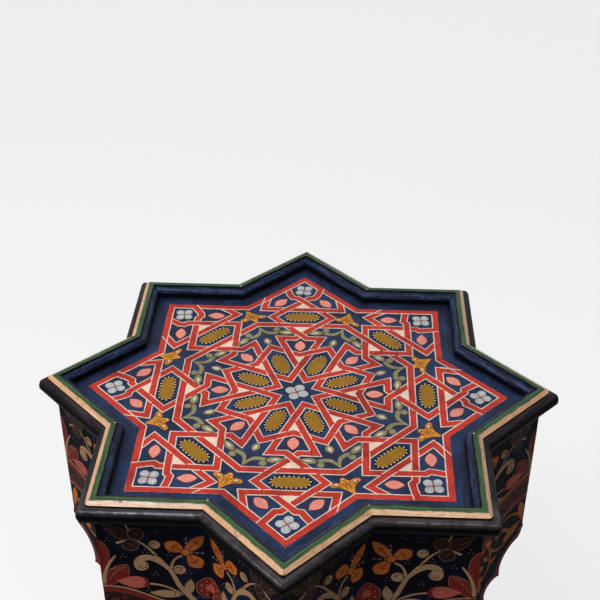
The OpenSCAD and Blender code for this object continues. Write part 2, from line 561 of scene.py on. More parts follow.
@dataclass(frozen=True)
class RimPaint:
    """The rim's bands: sand bevel, green flat, blue ovolo, and near-black steps that are partly dark paint
    and partly painted shade.
    """

    name: str = "rim_paint"
    sand: Colour = linear(212, 164, 122)
    sand_worn: Colour = linear(176, 122, 82)
    sand_pale: Colour = linear(236, 196, 158)
    green: Colour = linear(70, 98, 66)
    green_dark: Colour = linear(42, 66, 46)
    blue: Colour = linear(48, 66, 106)
    blue_dark: Colour = linear(22, 30, 56)
    black: Colour = linear(6, 7, 11)
    rust: Colour = linear(80, 38, 18)
    green_lap: float = 0.57
    blue_lap: float = 0.94
    step_fall: float = 1.6
    riser_h: float = 5.4
    foot_shade: float = 0.1
    soft: float = 0.4
    sheen: float = 0.38
    pin_spot: Point = (-139.3, -165.6)
    pin_spot_r: float = 1.9
    stroke_scale: float = 260.0
    streak_scale: float = 520.0
    wander_scale: float = 75.0
    grime_scale: float = 110.0
    pore_scale: float = 900.0
    wander: float = 3.0
    tremble: float = 0.6
    relief: float = 0.1
    specular: float = 0.14
    sheen_roughness: float = 0.18

    def material(self) -> bpy.types.Material:
        """Builds the rim's material.

        Returns:
            The material.
        """
        shader = Shader(self.name)
        strokes = shader.noise(self.stroke_scale, 4.0, 0.6)
        along = shader.along_star(self.streak_scale)
        wander = shader.math("SUBTRACT", shader.noise(self.wander_scale, 2.0), 0.5)
        wander = shader.math("MULTIPLY", wander, self.wander * MM)
        radius = shader.math("ADD", shader.star_radius(), wander)
        tremble = shader.math("SUBTRACT", strokes, 0.5)
        height = shader.math("ADD", shader.height(), shader.math("MULTIPLY", tremble, self.tremble * MM))
        sand = shader.mix(shader.span(strokes, 0.5, 0.68, 0.0, 0.7), self.sand, self.sand_worn)
        sand = shader.mix(shader.span(along, 0.52, 0.64, 0.0, 0.75), sand, self.sand_pale)
        green = shader.mix(shader.span(along, 0.42, 0.62), self.green, self.green_dark)
        blue = shader.mix(shader.span(along, 0.46, 0.6), self.blue_dark, self.blue)
        blue = shader.mix(shader.span(strokes, 0.46, 0.62, 0.0, 0.7), blue, self.black)
        # Near-black on the step below the green flat, over the ovolo's top and on the riser at the ovolo's
        # foot: partly dark paint, partly painted shade in the rim's recesses.
        soft = self.soft * MM
        riser = (PLAN.panel_z + self.riser_h) * MM
        low = shader.mix(shader.span(height, riser - soft, riser + soft), self.black, blue)
        step = (PLAN.table_h - self.step_fall) * MM
        low = shader.mix(shader.span(height, step - soft, step + soft), low, self.black)
        inner = (PLAN.top_r(PLAN.bevel_w + PLAN.flat_w) + self.blue_lap) * MM
        flat = shader.mix(shader.span(radius, inner, inner + 2 * soft), low, green)
        foot = (PLAN.table_h - PLAN.bevel_fall - self.foot_shade) * MM
        sand = shader.mix(shader.span(height, foot - soft, foot), self.black, sand)
        outer = (PLAN.top_r(PLAN.bevel_w) + self.green_lap) * MM
        on_bevel = shader.span(radius, outer, outer + 2 * soft)
        colour = shader.mix(on_bevel, flat, sand)
        grime = shader.span(shader.noise(self.grime_scale, 5.0, 0.7), 0.58, 0.72, 0.0, 0.5)
        colour = shader.mix(grime, colour, self.blue_dark)
        away = shader.add("ShaderNodeVectorMath", operation="DISTANCE")
        shader.join(shader.position((1.0, 1.0, 0.0)), away.inputs[0])
        away.inputs[1].default_value = (self.pin_spot[0] * MM, self.pin_spot[1] * MM, 0.0)
        spot_r = self.pin_spot_r * MM
        spot = shader.span(away.outputs["Value"], 0.6 * spot_r, spot_r, 1.0, 0.0)
        colour = shader.mix(spot, colour, self.rust)
        shader.join(shader.math("MULTIPLY", on_bevel, self.sheen), shader.surface.inputs["Coat Weight"])
        shader.surface.inputs["Coat Roughness"].default_value = self.sheen_roughness
        rough = shader.spread(strokes, 0.26, 0.42)
        shader.bump(shader.math("ADD", along, shader.noise(self.pore_scale, 2.0)), self.relief)
        return shader.finish(colour, rough, self.specular)


@dataclass(frozen=True)
class BlackLacquer:
    """The nosing's near-black lacquer, worn through to brown in places, with a painted grey sheen along its
    upper half.
    """

    name: str = "black_lacquer"
    black: Colour = linear(4, 4, 5)
    painted_sheen: Colour = linear(64, 55, 60)
    worn: Colour = linear(58, 36, 28)
    dark_to: float = 2.6
    bright_from: float = 8.2
    polished_y: float = -165.0
    polish_fade: float = 25.0
    streak_scale: float = 340.0
    chip_scale: float = 70.0
    pore_scale: float = 700.0
    patch_scale: float = 120.0
    relief: float = 0.3
    specular: float = 0.02

    def material(self) -> bpy.types.Material:
        """Builds the lacquer's material.

        Returns:
            The material.
        """
        shader = Shader(self.name)
        streaks = shader.along_star(self.streak_scale)
        chips = shader.noise(self.chip_scale, 6.0, 0.75)
        pores = shader.noise(self.pore_scale, 3.0)
        # Painted sheen: towards the top the black turns to a streaky grey where the highlight falls, and the
        # lower part stays black.
        dark, bright = (PLAN.nosing_z + self.dark_to) * MM, (PLAN.nosing_z + self.bright_from) * MM
        upper = shader.span(shader.height(), dark, bright)
        painted_sheen = shader.math("MULTIPLY", upper, shader.span(streaks, 0.36, 0.62, 0.35, 1.0))
        colour = shader.mix(painted_sheen, self.black, self.painted_sheen)
        colour = shader.mix(shader.span(chips, 0.61, 0.7, 0.0, 0.5), colour, self.worn)
        rough = shader.span(shader.math("ADD", streaks, pores), 0.8, 1.25, 0.4, 0.6)
        patches = shader.span(shader.noise(self.patch_scale, 4.0, 0.7), 0.38, 0.6, 0.25, 1.0)
        back = (self.polished_y + self.polish_fade) * MM
        front = shader.span(shader.axis("Y", shader.position()), self.polished_y * MM, back, 0.9, 0.12)
        gloss = shader.math("MULTIPLY", shader.math("MULTIPLY", upper, patches), front)
        shader.join(gloss, shader.surface.inputs["Coat Weight"])
        shader.join(shader.span(streaks, 0.35, 0.65, 0.16, 0.28), shader.surface.inputs["Coat Roughness"])
        shader.bump(shader.math("ADD", shader.math("ADD", streaks, chips), pores), self.relief)
        return shader.finish(colour, rough, self.specular)


@dataclass(frozen=True)
class SideGround:
    """The side boards: blue-black ground outside, dark cut edges, bare wood inside."""

    name: str = "side_ground"
    ground: Colour = linear(12, 13, 20)
    blue: Colour = linear(21, 30, 55)
    brown: Colour = linear(26, 16, 15)
    edge: Colour = linear(30, 18, 16)
    wood: Colour = linear(150, 108, 70)
    wood_dark: Colour = linear(104, 68, 42)
    cut_fade: Point = (0.5, 1.5)
    face_fade: Point = (-0.9, -0.3)
    stroke_scale: float = 240.0
    cloud_scale: float = 30.0
    ring_scale: float = 95.0
    relief: float = 0.1
    specular: float = 0.012

    def material(self) -> bpy.types.Material:
        """Builds the side boards' material.

        Returns:
            The material.
        """
        shader = Shader(self.name)
        strokes = shader.noise(self.stroke_scale, 4.0, 0.6, shader.position((1.0, 1.0, 0.4)))
        clouds = shader.noise(self.cloud_scale, 3.0, 0.6)
        outside = shader.mix(shader.span(clouds, 0.48, 0.68), self.ground, self.blue)
        outside = shader.mix(shader.span(strokes, 0.52, 0.7, 0.0, 0.7), outside, self.brown)
        rings = shader.noise(self.ring_scale, 5.0, 0.6, shader.position((1.0, 1.0, 0.05)), 0.6)
        wood = shader.mix(shader.span(rings, 0.4, 0.62), self.wood, self.wood_dark)
        radius = shader.star_radius()
        inner_r = PLAN.body_tip_r - PLAN.board_t * math.sqrt(2)
        cut = shader.span(radius, *((inner_r + past) * MM for past in self.cut_fade))
        face = shader.span(radius, *((PLAN.body_tip_r + past) * MM for past in self.face_fade))
        colour = shader.mix(face, shader.mix(cut, wood, self.edge), outside)
        rough = shader.spread(strokes, 0.46, 0.64)
        shader.bump(shader.math("ADD", strokes, rings), self.relief)
        return shader.finish(colour, rough, self.specular)


@dataclass(frozen=True)
class BareWood:
    """Planed softwood of the corner blocks, with grain along Z."""

    name: str = "bare_wood"
    light: Colour = linear(182, 138, 92)
    dark: Colour = linear(130, 88, 54)
    ring_scale: float = 110.0
    pore_scale: float = 1200.0
    relief: float = 0.15
    specular: float = 0.3

    def material(self) -> bpy.types.Material:
        """Builds the wood's material.

        Returns:
            The material.
        """
        shader = Shader(self.name)
        rings = shader.noise(self.ring_scale, 5.0, 0.6, shader.position((1.0, 1.0, 0.06)), 0.8)
        pores = shader.noise(self.pore_scale, 2.0, 0.5, shader.position((1.0, 1.0, 0.05)))
        colour = shader.mix(shader.span(rings, 0.38, 0.62), self.light, self.dark)
        colour = shader.mix(shader.span(pores, 0.6, 0.7, 0.0, 0.5), colour, self.dark)
        shader.bump(shader.math("ADD", rings, pores), self.relief)
        return shader.finish(colour, shader.spread(rings, 0.55, 0.72), self.specular)


@dataclass(frozen=True)
class DrawnSteel:
    """Steel of the nails and pins, dulled and spotted with rust."""

    name: str = "drawn_steel"
    steel: Colour = linear(150, 148, 145)
    rust: Colour = linear(112, 62, 38)
    spot_scale: float = 600.0
    metallic: float = 0.8
    relief: float = 0.05
    specular: float = 0.5

    def material(self) -> bpy.types.Material:
        """Builds the steel's material.

        Returns:
            The material.
        """
        shader = Shader(self.name)
        spots = shader.noise(self.spot_scale, 4.0, 0.65)
        colour = shader.mix(shader.span(spots, 0.5, 0.64), self.steel, self.rust)
        shader.surface.inputs["Metallic"].default_value = self.metallic
        shader.bump(spots, self.relief)
        return shader.finish(colour, shader.span(spots, 0.4, 0.65, 0.32, 0.7), self.specular)


def paint(name: str, red: float, green: float, blue: float, **settings: float) -> Paint:
    """Makes a paint from its display colour, with a paler thin spot and a darker patch.

    Args:
        name: Name of the material.
        red: Red, 0 to 255.
        green: Green, 0 to 255.
        blue: Blue, 0 to 255.
        **settings: Other fields of the paint.

    Returns:
        The paint.
    """
    thin = linear(*(min(255.0, c * 1.12 + 6) for c in (red, green, blue)))
    dark = linear(red * 0.72, green * 0.68, blue * 0.7)
    return Paint(name, linear(red, green, blue), thin, dark, **settings)


def matt(name: str, red: float, green: float, blue: float) -> Paint:
    """Makes a paint that hardly shines."""
    return paint(name, red, green, blue, specular=SIDE_GLOSS)


class PanelColour(Enum):
    """Paints of the panel."""

    RED = paint("panel_red", 202, 61, 49, wear=0.8)
    CREAM = paint("panel_cream", 238, 214, 196)
    BEIGE = paint("panel_beige", 246, 214, 190, wear=0.25)
    BLACK = paint("panel_black", 8, 9, 16)
    GOLD = paint("panel_gold", 156, 112, 31, roughness=0.36, stroke_scale=900.0)
    WHITE = paint("panel_white", 226, 222, 214)
    PINK = paint("panel_pink", 242, 150, 132)
    DARK_RED = paint("panel_dark_red", 124, 44, 44)
    SILVER = paint("panel_silver", 184, 190, 190)
    GREEN = paint("panel_green", 136, 142, 102)
    PALE_GREEN = paint("panel_pale_green", 226, 208, 188)
    ORANGE = paint("panel_orange", 216, 144, 44)
    OCHRE = paint("panel_ochre", 158, 104, 38)


class SideColour(Enum):
    """Paints of the sides."""

    BEIGE = matt("side_beige", 178, 142, 108)
    ORANGE = matt("side_orange", 198, 114, 52)
    RED = matt("side_red", 124, 42, 34)
    DEEP_RED = matt("side_deep_red", 74, 22, 24)
    PINK = matt("side_pink", 194, 98, 86)
    BROWN = matt("side_brown", 46, 28, 24)
    LINE = matt("side_line", 150, 116, 98)
    WHITE = matt("side_white", 138, 132, 130)
    UMBER = matt("side_umber", 88, 54, 42)
    COPPER = matt("side_copper", 164, 94, 50)


class Drawing:
    """Outlines that a painter lays down, as lists of points."""

    @staticmethod
    def part_way(start: Point, end: Point, share: float) -> Point:
        """Gives the point at a share of the way from one point to another."""
        return (start[0] + (end[0] - start[0]) * share, start[1] + (end[1] - start[1]) * share)

    @staticmethod
    def off(centre: Point, distance: float, angle: float) -> Point:
        """Gives the point at a distance from a centre, in the direction of an angle."""
        return (centre[0] + distance * math.cos(angle), centre[1] + distance * math.sin(angle))

    @staticmethod
    def disc(
        centre: Point, radius: float, count: int = 14, squash: float = 1.0, turn: float = 0.0
    ) -> list[Point]:
        """Draws a disc or an oval.

        Args:
            centre: Its centre.
            radius: Its radius.
            count: Points round it.
            squash: Its second radius as a share of the first.
            turn: Angle of its first radius.

        Returns:
            The outline.
        """
        outline = []
        c, s = math.cos(turn), math.sin(turn)
        for i in range(count):
            a = 2 * math.pi * i / count
            x, y = radius * math.cos(a), radius * squash * math.sin(a)
            outline.append((centre[0] + x * c - y * s, centre[1] + x * s + y * c))
        return outline

    @staticmethod
    def petal(base: Point, tip: Point, width: float, belly: float = 0.55, sharp: float = 1.0) -> list[Point]:
        """Draws a petal or leaf from its base to its tip.

        Args:
            base: Where it starts.
            tip: Where it ends.
            width: Its greatest width.
            belly: Where it is widest, as a share of its length.
            sharp: Above 1 the tip is drawn out, under 1 it is blunt.

        Returns:
            The outline.
        """
        dx, dy = tip[0] - base[0], tip[1] - base[1]
        length = math.hypot(dx, dy)
        ux, uy = dx / length, dy / length
        steps = 9
        right, left = [], []
        for i in range(steps + 1):
            s = i / steps
            bent = s ** (math.log(0.5) / math.log(belly))
            half = width / 2 * max(0.0, math.sin(math.pi * bent)) ** (sharp if s > belly else 0.8)
            half = max(half, 0.02 * width)
            x, y = base[0] + ux * length * s, base[1] + uy * length * s
            right.append((x - uy * half, y + ux * half))
            left.append((x + uy * half, y - ux * half))
        return right + left[::-1]

    @staticmethod
    def smooth(points: Sequence[Point], per_span: int = 5) -> list[Point]:
        """Runs a smooth line through points.

        Args:
            points: The points, in order.
            per_span: New points from one to the next.

        Returns:
            The finer line.
        """
        line = []
        for i in range(len(points) - 1):
            p0, p1 = points[max(i - 1, 0)], points[i]
            p2, p3 = points[i + 1], points[min(i + 2, len(points) - 1)]
            for j in range(per_span):
                t = j / per_span
                spot = []
                for a, b, c, d in zip(p0, p1, p2, p3):
                    bend = (2 * a - 5 * b + 4 * c - d) * t**2 + (3 * b - a - 3 * c + d) * t**3
                    spot.append((2 * b + (c - a) * t + bend) / 2)
                line.append(tuple(spot))
        line.append(tuple(points[-1]))
        return line

    @staticmethod
    def grown(outline: Sequence[Point], amount: float) -> list[Point]:
        """Moves an outline outward from its own line.

        Args:
            outline: The outline.
            amount: How far each point moves.

        Returns:
            The larger outline.
        """
        after = [*outline[1:], outline[0]]
        area = sum(x1 * y2 - x2 * y1 for (x1, y1), (x2, y2) in zip(outline, after))
        out = amount if area > 0 else -amount
        made = []
        for a, (x, y), b in zip([outline[-1], *outline[:-1]], outline, after):
            dx, dy = b[0] - a[0], b[1] - a[1]
            size = math.hypot(dx, dy) or 1.0
            made.append((x + out * dy / size, y - out * dx / size))
        return made

    @staticmethod
    def clipped(outline: Sequence[Point], low: float, high: float) -> list[Point]:
        """Cuts an outline to what lies from low to high along its first coordinate.

        Args:
            outline: The outline.
            low: Least first coordinate that is kept.
            high: Greatest first coordinate that is kept.

        Returns:
            The cut outline.
        """

        def cut(points: Sequence[Point], edge: float, keep_above: bool) -> list[Point]:
            """Cuts along one line of constant first coordinate.

            Args:
                points: The outline.
                edge: First coordinate of the line.
                keep_above: Whether what lies above it is kept, and not what lies below.

            Returns:
                What is kept.
            """
            kept = []
            for i, b in enumerate(points):
                a = points[i - 1]
                a_in = (a[0] >= edge) == keep_above
                b_in = (b[0] >= edge) == keep_above
                if a_in != b_in:
                    s = (edge - a[0]) / (b[0] - a[0])
                    kept.append((edge, a[1] + s * (b[1] - a[1])))
                if b_in:
                    kept.append(b)
            return kept

        return cut(cut(outline, low, True), high, False)


class Film:
    """Closed thin films of one paint, gathered into one piece."""

    def __init__(self, name: str, finish: Paint, slot: Slot) -> None:
        """Starts a piece.

        Args:
            name: Its name.
            finish: Its paint.
            slot: Its material slot, which the film keeps but does not give to its piece.
        """
        self.name = name
        self.paint = finish
        self.slot = slot
        self.vertices: list[Vector] = []
        self.faces: list[tuple[int, ...]] = []
        self.strokes = 0

    def top(self, coat: float) -> float:
        """Gives the height of the next stroke of a coat."""
        self.strokes += 1
        return FIRST_COAT + COAT * coat + HAIR * (self.strokes % HAIRS)

    def lay(self, outline: Sequence[Point], place: Place, coat: float) -> None:
        """Lays one closed patch.

        Args:
            outline: The patch's outline.
            place: Rule that puts it on its surface.
            coat: Which coat it belongs to, from 0 at the bottom.
        """
        count = len(outline)
        if count < 3:
            return
        base = len(self.vertices)
        for level in (FILM_FOOT, self.top(coat)):
            self.vertices += [place(x, y, level) for x, y in outline]
        self.faces.append(tuple(base + count + i for i in range(count)))
        self.faces.append(tuple(base + count - 1 - i for i in range(count)))
        for i in range(count):
            j = (i + 1) % count
            self.faces.append((base + i, base + j, base + count + j, base + count + i))

    def run(
        self, line: Sequence[Point], widths: Sequence[float], place: Place, coat: float, closed: bool = False
    ) -> None:
        """Lays a band along a line, mitred at its corners.

        Args:
            line: Centre line.
            widths: Width at each of its points.
            place: Rule that puts it on its surface.
            coat: Which coat it belongs to, from 0 at the bottom.
            closed: Whether the line closes on itself.
        """
        count = len(line)
        base = len(self.vertices)
        top = self.top(coat)
        for i, (x, y) in enumerate(line):
            before = line[i - 1] if i or closed else line[i]
            after = line[(i + 1) % count] if i < count - 1 or closed else line[i]
            into = Vector((x - before[0], y - before[1]))
            onward = Vector((after[0] - x, after[1] - y))
            into = into.normalized() if into.length > 0 else onward.normalized()
            onward = onward.normalized() if onward.length > 0 else into
            bisector = into + onward
            bisector = bisector.normalized() if bisector.length > 1e-6 else into
            half = widths[i] / 2 / max(MITRE_COSINE, bisector.dot(into))
            side = Vector((-bisector.y, bisector.x)) * half
            for level in (FILM_FOOT, top):
                self.vertices.append(place(x + side.x, y + side.y, level))
                self.vertices.append(place(x - side.x, y - side.y, level))
        spans = count if closed else count - 1
        for i in range(spans):
            a, b = base + 4 * i, base + 4 * ((i + 1) % count)
            self.faces += [
                (a + 2, a + 3, b + 3, b + 2),
                (a, b, b + 1, a + 1),
                (a, a + 2, b + 2, b),
                (a + 1, b + 1, b + 3, a + 3),
            ]
        if not closed:
            last = base + 4 * (count - 1)
            self.faces += [(base, base + 1, base + 3, base + 2), (last, last + 2, last + 3, last + 1)]

    def build(self) -> None:
        """Makes the piece, if anything was laid."""
        if not self.faces:
            return
        mesh = bpy.data.meshes.new(self.name)
        mesh.from_pydata([tuple(v) for v in self.vertices], [], self.faces)
        work = bmesh.new()
        work.from_mesh(mesh)
        bmesh.ops.recalc_face_normals(work, faces=work.faces)
        work.to_mesh(mesh)
        work.free()
        mesh.materials.append(self.paint.material())
        piece = bpy.data.objects.new(self.name, mesh)
        bpy.context.scene.collection.objects.link(piece)
        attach(piece, ROOT)
        log.info("%s: %d faces", self.name, len(mesh.polygons))


@dataclass
class Painting:
    """The films of paint on one kind of surface, one film for each colour."""

    prefix: ClassVar[str]
    slot: ClassVar[Slot]
    films: dict[Enum, Film] = field(default_factory=dict)

    def place(self, x: float, y: float, proud: float) -> Vector:
        """Puts a point of the drawing on its surface."""
        raise NotImplementedError

    def film(self, colour: Enum) -> Film:
        """Gives the film of a colour, and starts it where the colour is new.

        Args:
            colour: The colour.

        Returns:
            Its film.
        """
        if colour not in self.films:
            name = f"{self.prefix}_{colour.name.lower()}_paint"
            self.films[colour] = Film(name, colour.value, self.slot)
        return self.films[colour]

    def dab(self, colour: Enum, centre: Point, radius: float, coat: float, count: int = 8) -> None:
        """Lays a round dab of paint."""
        self.film(colour).lay(Drawing.disc(centre, radius, count), self.place, coat)

    def dry(self) -> None:
        """Makes the pieces once all is painted."""
        for film in self.films.values():
            film.build()


class Strand(Enum):
    """Kinds of interlaced band."""

    PLUS = "plus"
    MINUS = "minus"
    RING = "ring"
    OCTAGON = "octagon"
    TIP = "tip"
    BORDER = "border"


@dataclass
class Band:
    """One interlaced band: its kind, its corners in pattern units and whether it closes."""

    kind: Strand
    corners: list[Point]
    closed: bool = False


@dataclass
class PanelPainting(Painting):
    """The interlaced star pattern of the panel, with its motifs.

    Sizes are shares of the pattern's tip radius, which is the field unit. Only wave, the two lengths
    beside it and bead_r are millimetres.
    """

    prefix: ClassVar[str] = "panel"
    slot: ClassVar[Slot] = Slot.PANEL
    unit: float = PLAN.pattern_r
    band_w: float = 0.0285
    line_w: float = 0.0052
    heart: Point = (0.0924, 0.0383)
    heart_leg: float = 0.1
    elbow: Point = (0.433, -0.105)
    knee: Point = (0.433, -0.03)
    shoulder: Point = (0.618, 0.155)
    bend: Point = (0.798, -0.032)
    notch: tuple[Point, ...] = ((0.800, -0.056), (0.823, -0.072))
    landing: Point = (0.876, -0.106)
    ring_in: float = 0.294
    ring_out: float = 0.382
    octagon_d: float = 0.547
    tip_band_r: float = 0.688
    tip_band_t: float = 0.205
    tip_band_end: Point = (0.785, 0.1877)
    wave: float = 0.28
    wave_length: float = 11.0
    swell_length: float = 7.0
    swell: float = 0.12
    leans: tuple[float, ...] = (0.5, 0.05, -0.1, 0.08, 0.45, -0.06, 0.62, 0.1)
    shifts: tuple[float, ...] = (-0.004, -0.003, 0.014, 0.02, 0.006, 0.0, -0.004, 0.0)
    lily_shifts: tuple[Point, ...] = (
        (-0.011, -0.001), (-0.016, 0.013), (0.001, 0.007), (0.026, 0.010),
        (0.010, -0.015), (0.014, -0.021), (0.010, -0.013), (0.004, -0.014),
    )
    lily_leans: tuple[float, ...] = (0.26, 0.2, 0.18, 0.24, -0.12, -0.06, 0.16, 0.06)
    lily_r: float = 0.655
    heart_lozenge: tuple[float, ...] = (0.231, 0.0745, 0.0325, 0.56)  # r, half_long, half_wide, blunt
    arm_lozenge: tuple[float, ...] = (0.620, 0.085, 0.0315, 0.72)
    lozenge_end: float = 0.32
    lozenge_round: float = 0.25
    lozenge_margin: float = 0.0122
    beads: int = 20
    bead_out: float = 0.004
    bead_r: float = 0.7
    heart_drop: tuple[float, ...] = (0.369, 0.0, 0.0, 0.084, 0.052)  # r, t, lean, length, width
    arm_drop: tuple[float, ...] = (0.752, 0.117, -0.76, 0.087, 0.051)
    drop_line: float = 0.0036
    fine_line: float = 0.0026
    rosette_r: float = 0.872
    petal_out: float = 0.0285
    petal_r: float = 0.0225
    gleam_share: float = 1.12
    cross_share: float = 1.26
    mark_swell: float = 1.2
    mark_coat: float = 0.4
    middle_lean: float = 0.4
    middle_size: float = 1.14
    crossing_end: float = 0.03

    def place(self, x: float, y: float, proud: float) -> Vector:
        """Puts a point on the panel, with the painter's slight waver.

        Args:
            x: Distance along X from the centre, in millimetres.
            y: Distance along Y from the centre.
            proud: Height over the panel.

        Returns:
            The point in metres.
        """
        spot = Vector((x, y, 0.0)) / self.wave_length
        dx = noise.noise(spot) * self.wave
        dy = noise.noise(spot + Vector((31.0, 17.0, 5.0))) * self.wave
        return Vector((x + dx, y + dy, PLAN.panel_z + proud)) * MM

    def at(self, angle: float, r: float, t: float) -> Point:
        """Turns pattern units about the centre, and gives millimetres."""
        c, s = math.cos(angle), math.sin(angle)
        return ((r * c - t * s) * self.unit, (r * s + t * c) * self.unit)

    def landed(self, arm: int) -> Point:
        """Gives the place where an arm's strands meet the border, which differs a little by hand."""
        return (self.landing[0] + self.shifts[arm], self.landing[1] + self.shifts[arm])

    def bands(self) -> list[Band]:
        """Lists every band.

        Returns:
            The bands, with their corners in millimetres.
        """
        found = []
        strand = [self.heart, self.elbow, self.knee, self.shoulder, self.bend, *self.notch, self.landing]
        tip_band = [
            (self.tip_band_end[0], -self.tip_band_end[1]),
            (self.tip_band_r, -self.tip_band_t),
            (self.tip_band_r, self.tip_band_t),
            self.tip_band_end,
        ]
        ring, octagon, border = [], [], []
        half = self.band_w / 2 * math.sqrt(2)
        for arm in range(PLAN.tips):
            a = arm * PLAN.tip_step
            ends = [*strand[:-1], self.landed(arm)]
            found.append(Band(Strand.PLUS, [self.at(a, r, t) for r, t in ends]))
            found.append(Band(Strand.MINUS, [self.at(a, r, -t) for r, t in ends]))
            found.append(Band(Strand.TIP, [self.at(a, r, t) for r, t in tip_band]))
            ring += [self.at(a, self.ring_in, 0.0), self.at(a + PLAN.side_step, self.ring_out, 0.0)]
            octagon.append(self.at(a + PLAN.side_step, self.octagon_d / math.cos(PLAN.side_step), 0.0))
            border += [
                self.at(a, 1.0 - half, 0.0),
                self.at(a + PLAN.side_step, (1.0 - half) * PLAN.valley_share, 0.0),
            ]
        found.append(Band(Strand.RING, ring, True))
        found.append(Band(Strand.OCTAGON, octagon, True))
        found.append(Band(Strand.BORDER, border, True))
        return found

    def stepped(
        self, corners: Sequence[Point], closed: bool, step: float = 4.0
    ) -> tuple[list[Point], list[float]]:
        """Adds points along straight runs, so that a band can waver.

        Args:
            corners: The band's corners.
            closed: Whether it closes on itself.
            step: Distance between points.

        Returns:
            The points, and for each a share by which the width there changes.
        """
        line = []
        count = len(corners)
        for i in range(count if closed else count - 1):
            a, b = corners[i], corners[(i + 1) % count]
            pieces = max(1, round(math.dist(a, b) / step))
            line += [Drawing.part_way(a, b, j / pieces) for j in range(pieces)]
        if not closed:
            line.append(corners[-1])
        spots = [Vector((x / self.swell_length, y / self.swell_length, 3.0)) for x, y in line]
        change = [1 + self.swell * noise.noise(spot) for spot in spots]
        return line, change

    def paint_bands(self) -> None:
        """Paints every band: a cream strip and the red one on it."""
        red, cream = self.film(PanelColour.RED), self.film(PanelColour.CREAM)
        line_w, width = self.line_w * self.unit, self.band_w * self.unit
        for band in self.bands():
            line, change = self.stepped(band.corners, band.closed)
            strip = [width + 2 * line_w * (0.7 + 0.3 * c) for c in change]
            if band.kind is Strand.BORDER:
                shift = 1 - line_w / 2 * math.sqrt(2) / self.unit
                inner = [(x * shift, y * shift) for x, y in band.corners]
                inner, _ = self.stepped(inner, True)
                cream.run(inner, [width + line_w] * len(inner), self.place, 3, True)
            else:
                cream.run(line, strip, self.place, 1, band.closed)
            coat = {Strand.TIP: 2, Strand.BORDER: 4}.get(band.kind, 5)
            red.run(line, [width * c for c in change], self.place, coat, band.closed)
        leg = Drawing.part_way(self.heart, self.elbow, self.heart_leg)
        for arm in range(PLAN.tips):
            a = arm * PLAN.tip_step
            corner = [self.at(a, *leg), self.at(a, *self.heart), self.at(a + PLAN.tip_step, leg[0], -leg[1])]
            cream.run(corner, [width + 2 * line_w] * 3, self.place, 1 + OVER)
            red.run(corner, [width] * 3, self.place, 5 + OVER)

    def paint_landings(self, arm: int) -> None:
        """Paints the cream lines where an arm's bands meet the border.

        On one hand the strand passes over the border and the tip's band under it. On the other it is
        the reverse.

        Args:
            arm: Number of the arm, from +X.
        """
        angle = arm * PLAN.tip_step
        spot = Vector(self.landed(arm))
        way = (spot - Vector(self.notch[-1])).normalized()
        reach = (self.band_w + self.line_w) / 2
        mouth = 1.0 - (self.band_w + self.line_w / 2) * math.sqrt(2)

        def reached(start: Vector, edge: float) -> Vector:
            """Follows the strand's way from a point to where it meets a line parallel to the border."""
            return start + way * ((edge - (start.x - start.y)) / (way.x - way.y))

        outer = spot + Vector((way.y, -way.x)) * reach
        over = [tuple(reached(outer, mouth + self.line_w / 2)), tuple(reached(outer, 0.999))]
        middle = reached(spot, mouth)
        wide = reach / math.sqrt(2) + self.line_w * 0.8
        under = [(middle.x - s * wide, -middle.y + s * wide) for s in (-1.0, 1.0)]
        turn, end = self.tip_band_t + reach * 1.05, self.tip_band_end[1] + reach
        tip_over = [(self.tip_band_r + 0.008, turn), (1.0 - end - 0.002, end)]
        for line in (over, under, tip_over):
            self.film(PanelColour.CREAM).run([self.at(angle, *e) for e in line], [1.0, 0.95], self.place, 8)

    def over(self, first: Strand, second: Strand, radius: float) -> bool:
        """Says whether the first band passes over the second at a crossing.

        Args:
            first: Kind of the one band.
            second: Kind of the other band.
            radius: Distance of the crossing from the centre, in pattern units.

        Returns:
            True if the first is on top.
        """
        if {first, second} == {Strand.PLUS, Strand.MINUS}:
            return (first is Strand.PLUS) == (radius < 0.6)
        if Strand.PLUS in (first, second):
            other = second if first is Strand.PLUS else first
            plus_over = other is Strand.TIP
            return (first is Strand.PLUS) == plus_over
        other = second if first is Strand.MINUS else first
        minus_over = other is not Strand.TIP
        return (first is Strand.MINUS) == minus_over

    def paint_crossings(self) -> None:
        """Repeats the upper band over the lower one at each crossing."""
        red, cream = self.film(PanelColour.RED), self.film(PanelColour.CREAM)
        full = (self.band_w + 2 * self.line_w) * self.unit
        width = self.band_w * self.unit
        bands = [b for b in self.bands() if b.kind is not Strand.BORDER]
        runs = []
        for index, band in enumerate(bands):
            count = len(band.corners)
            for i in range(count if band.closed else count - 1):
                start, end = band.corners[i], band.corners[(i + 1) % count]
                runs.append((index, band.kind, Vector(start), Vector(end)))
        for i, (index, kind, start, end) in enumerate(runs):
            for other_index, other_kind, other_start, other_end in runs[i + 1 :]:
                if index == other_index or kind is other_kind:
                    continue
                way, other_way = end - start, other_end - other_start
                cross = way.x * other_way.y - way.y * other_way.x
                if abs(cross) < 1e-6:
                    continue
                dx, dy = other_start.x - start.x, other_start.y - start.y
                share = (dx * other_way.y - dy * other_way.x) / cross
                shares = (share, (dx * way.y - dy * way.x) / cross)
                if min(shares) <= self.crossing_end or max(shares) >= 1 - self.crossing_end:
                    continue
                spot = start + way * share
                upper = way if self.over(kind, other_kind, spot.length / self.unit) else other_way
                sine = abs(cross) / way.length / other_way.length
                reach = upper.normalized() * (full / 2 / sine + 0.5)
                ends = [tuple(spot - reach), tuple(spot), tuple(spot + reach)]
                cream.run(ends, [full] * 3, self.place, 6)
                red.run(ends, [width] * 3, self.place, 7)

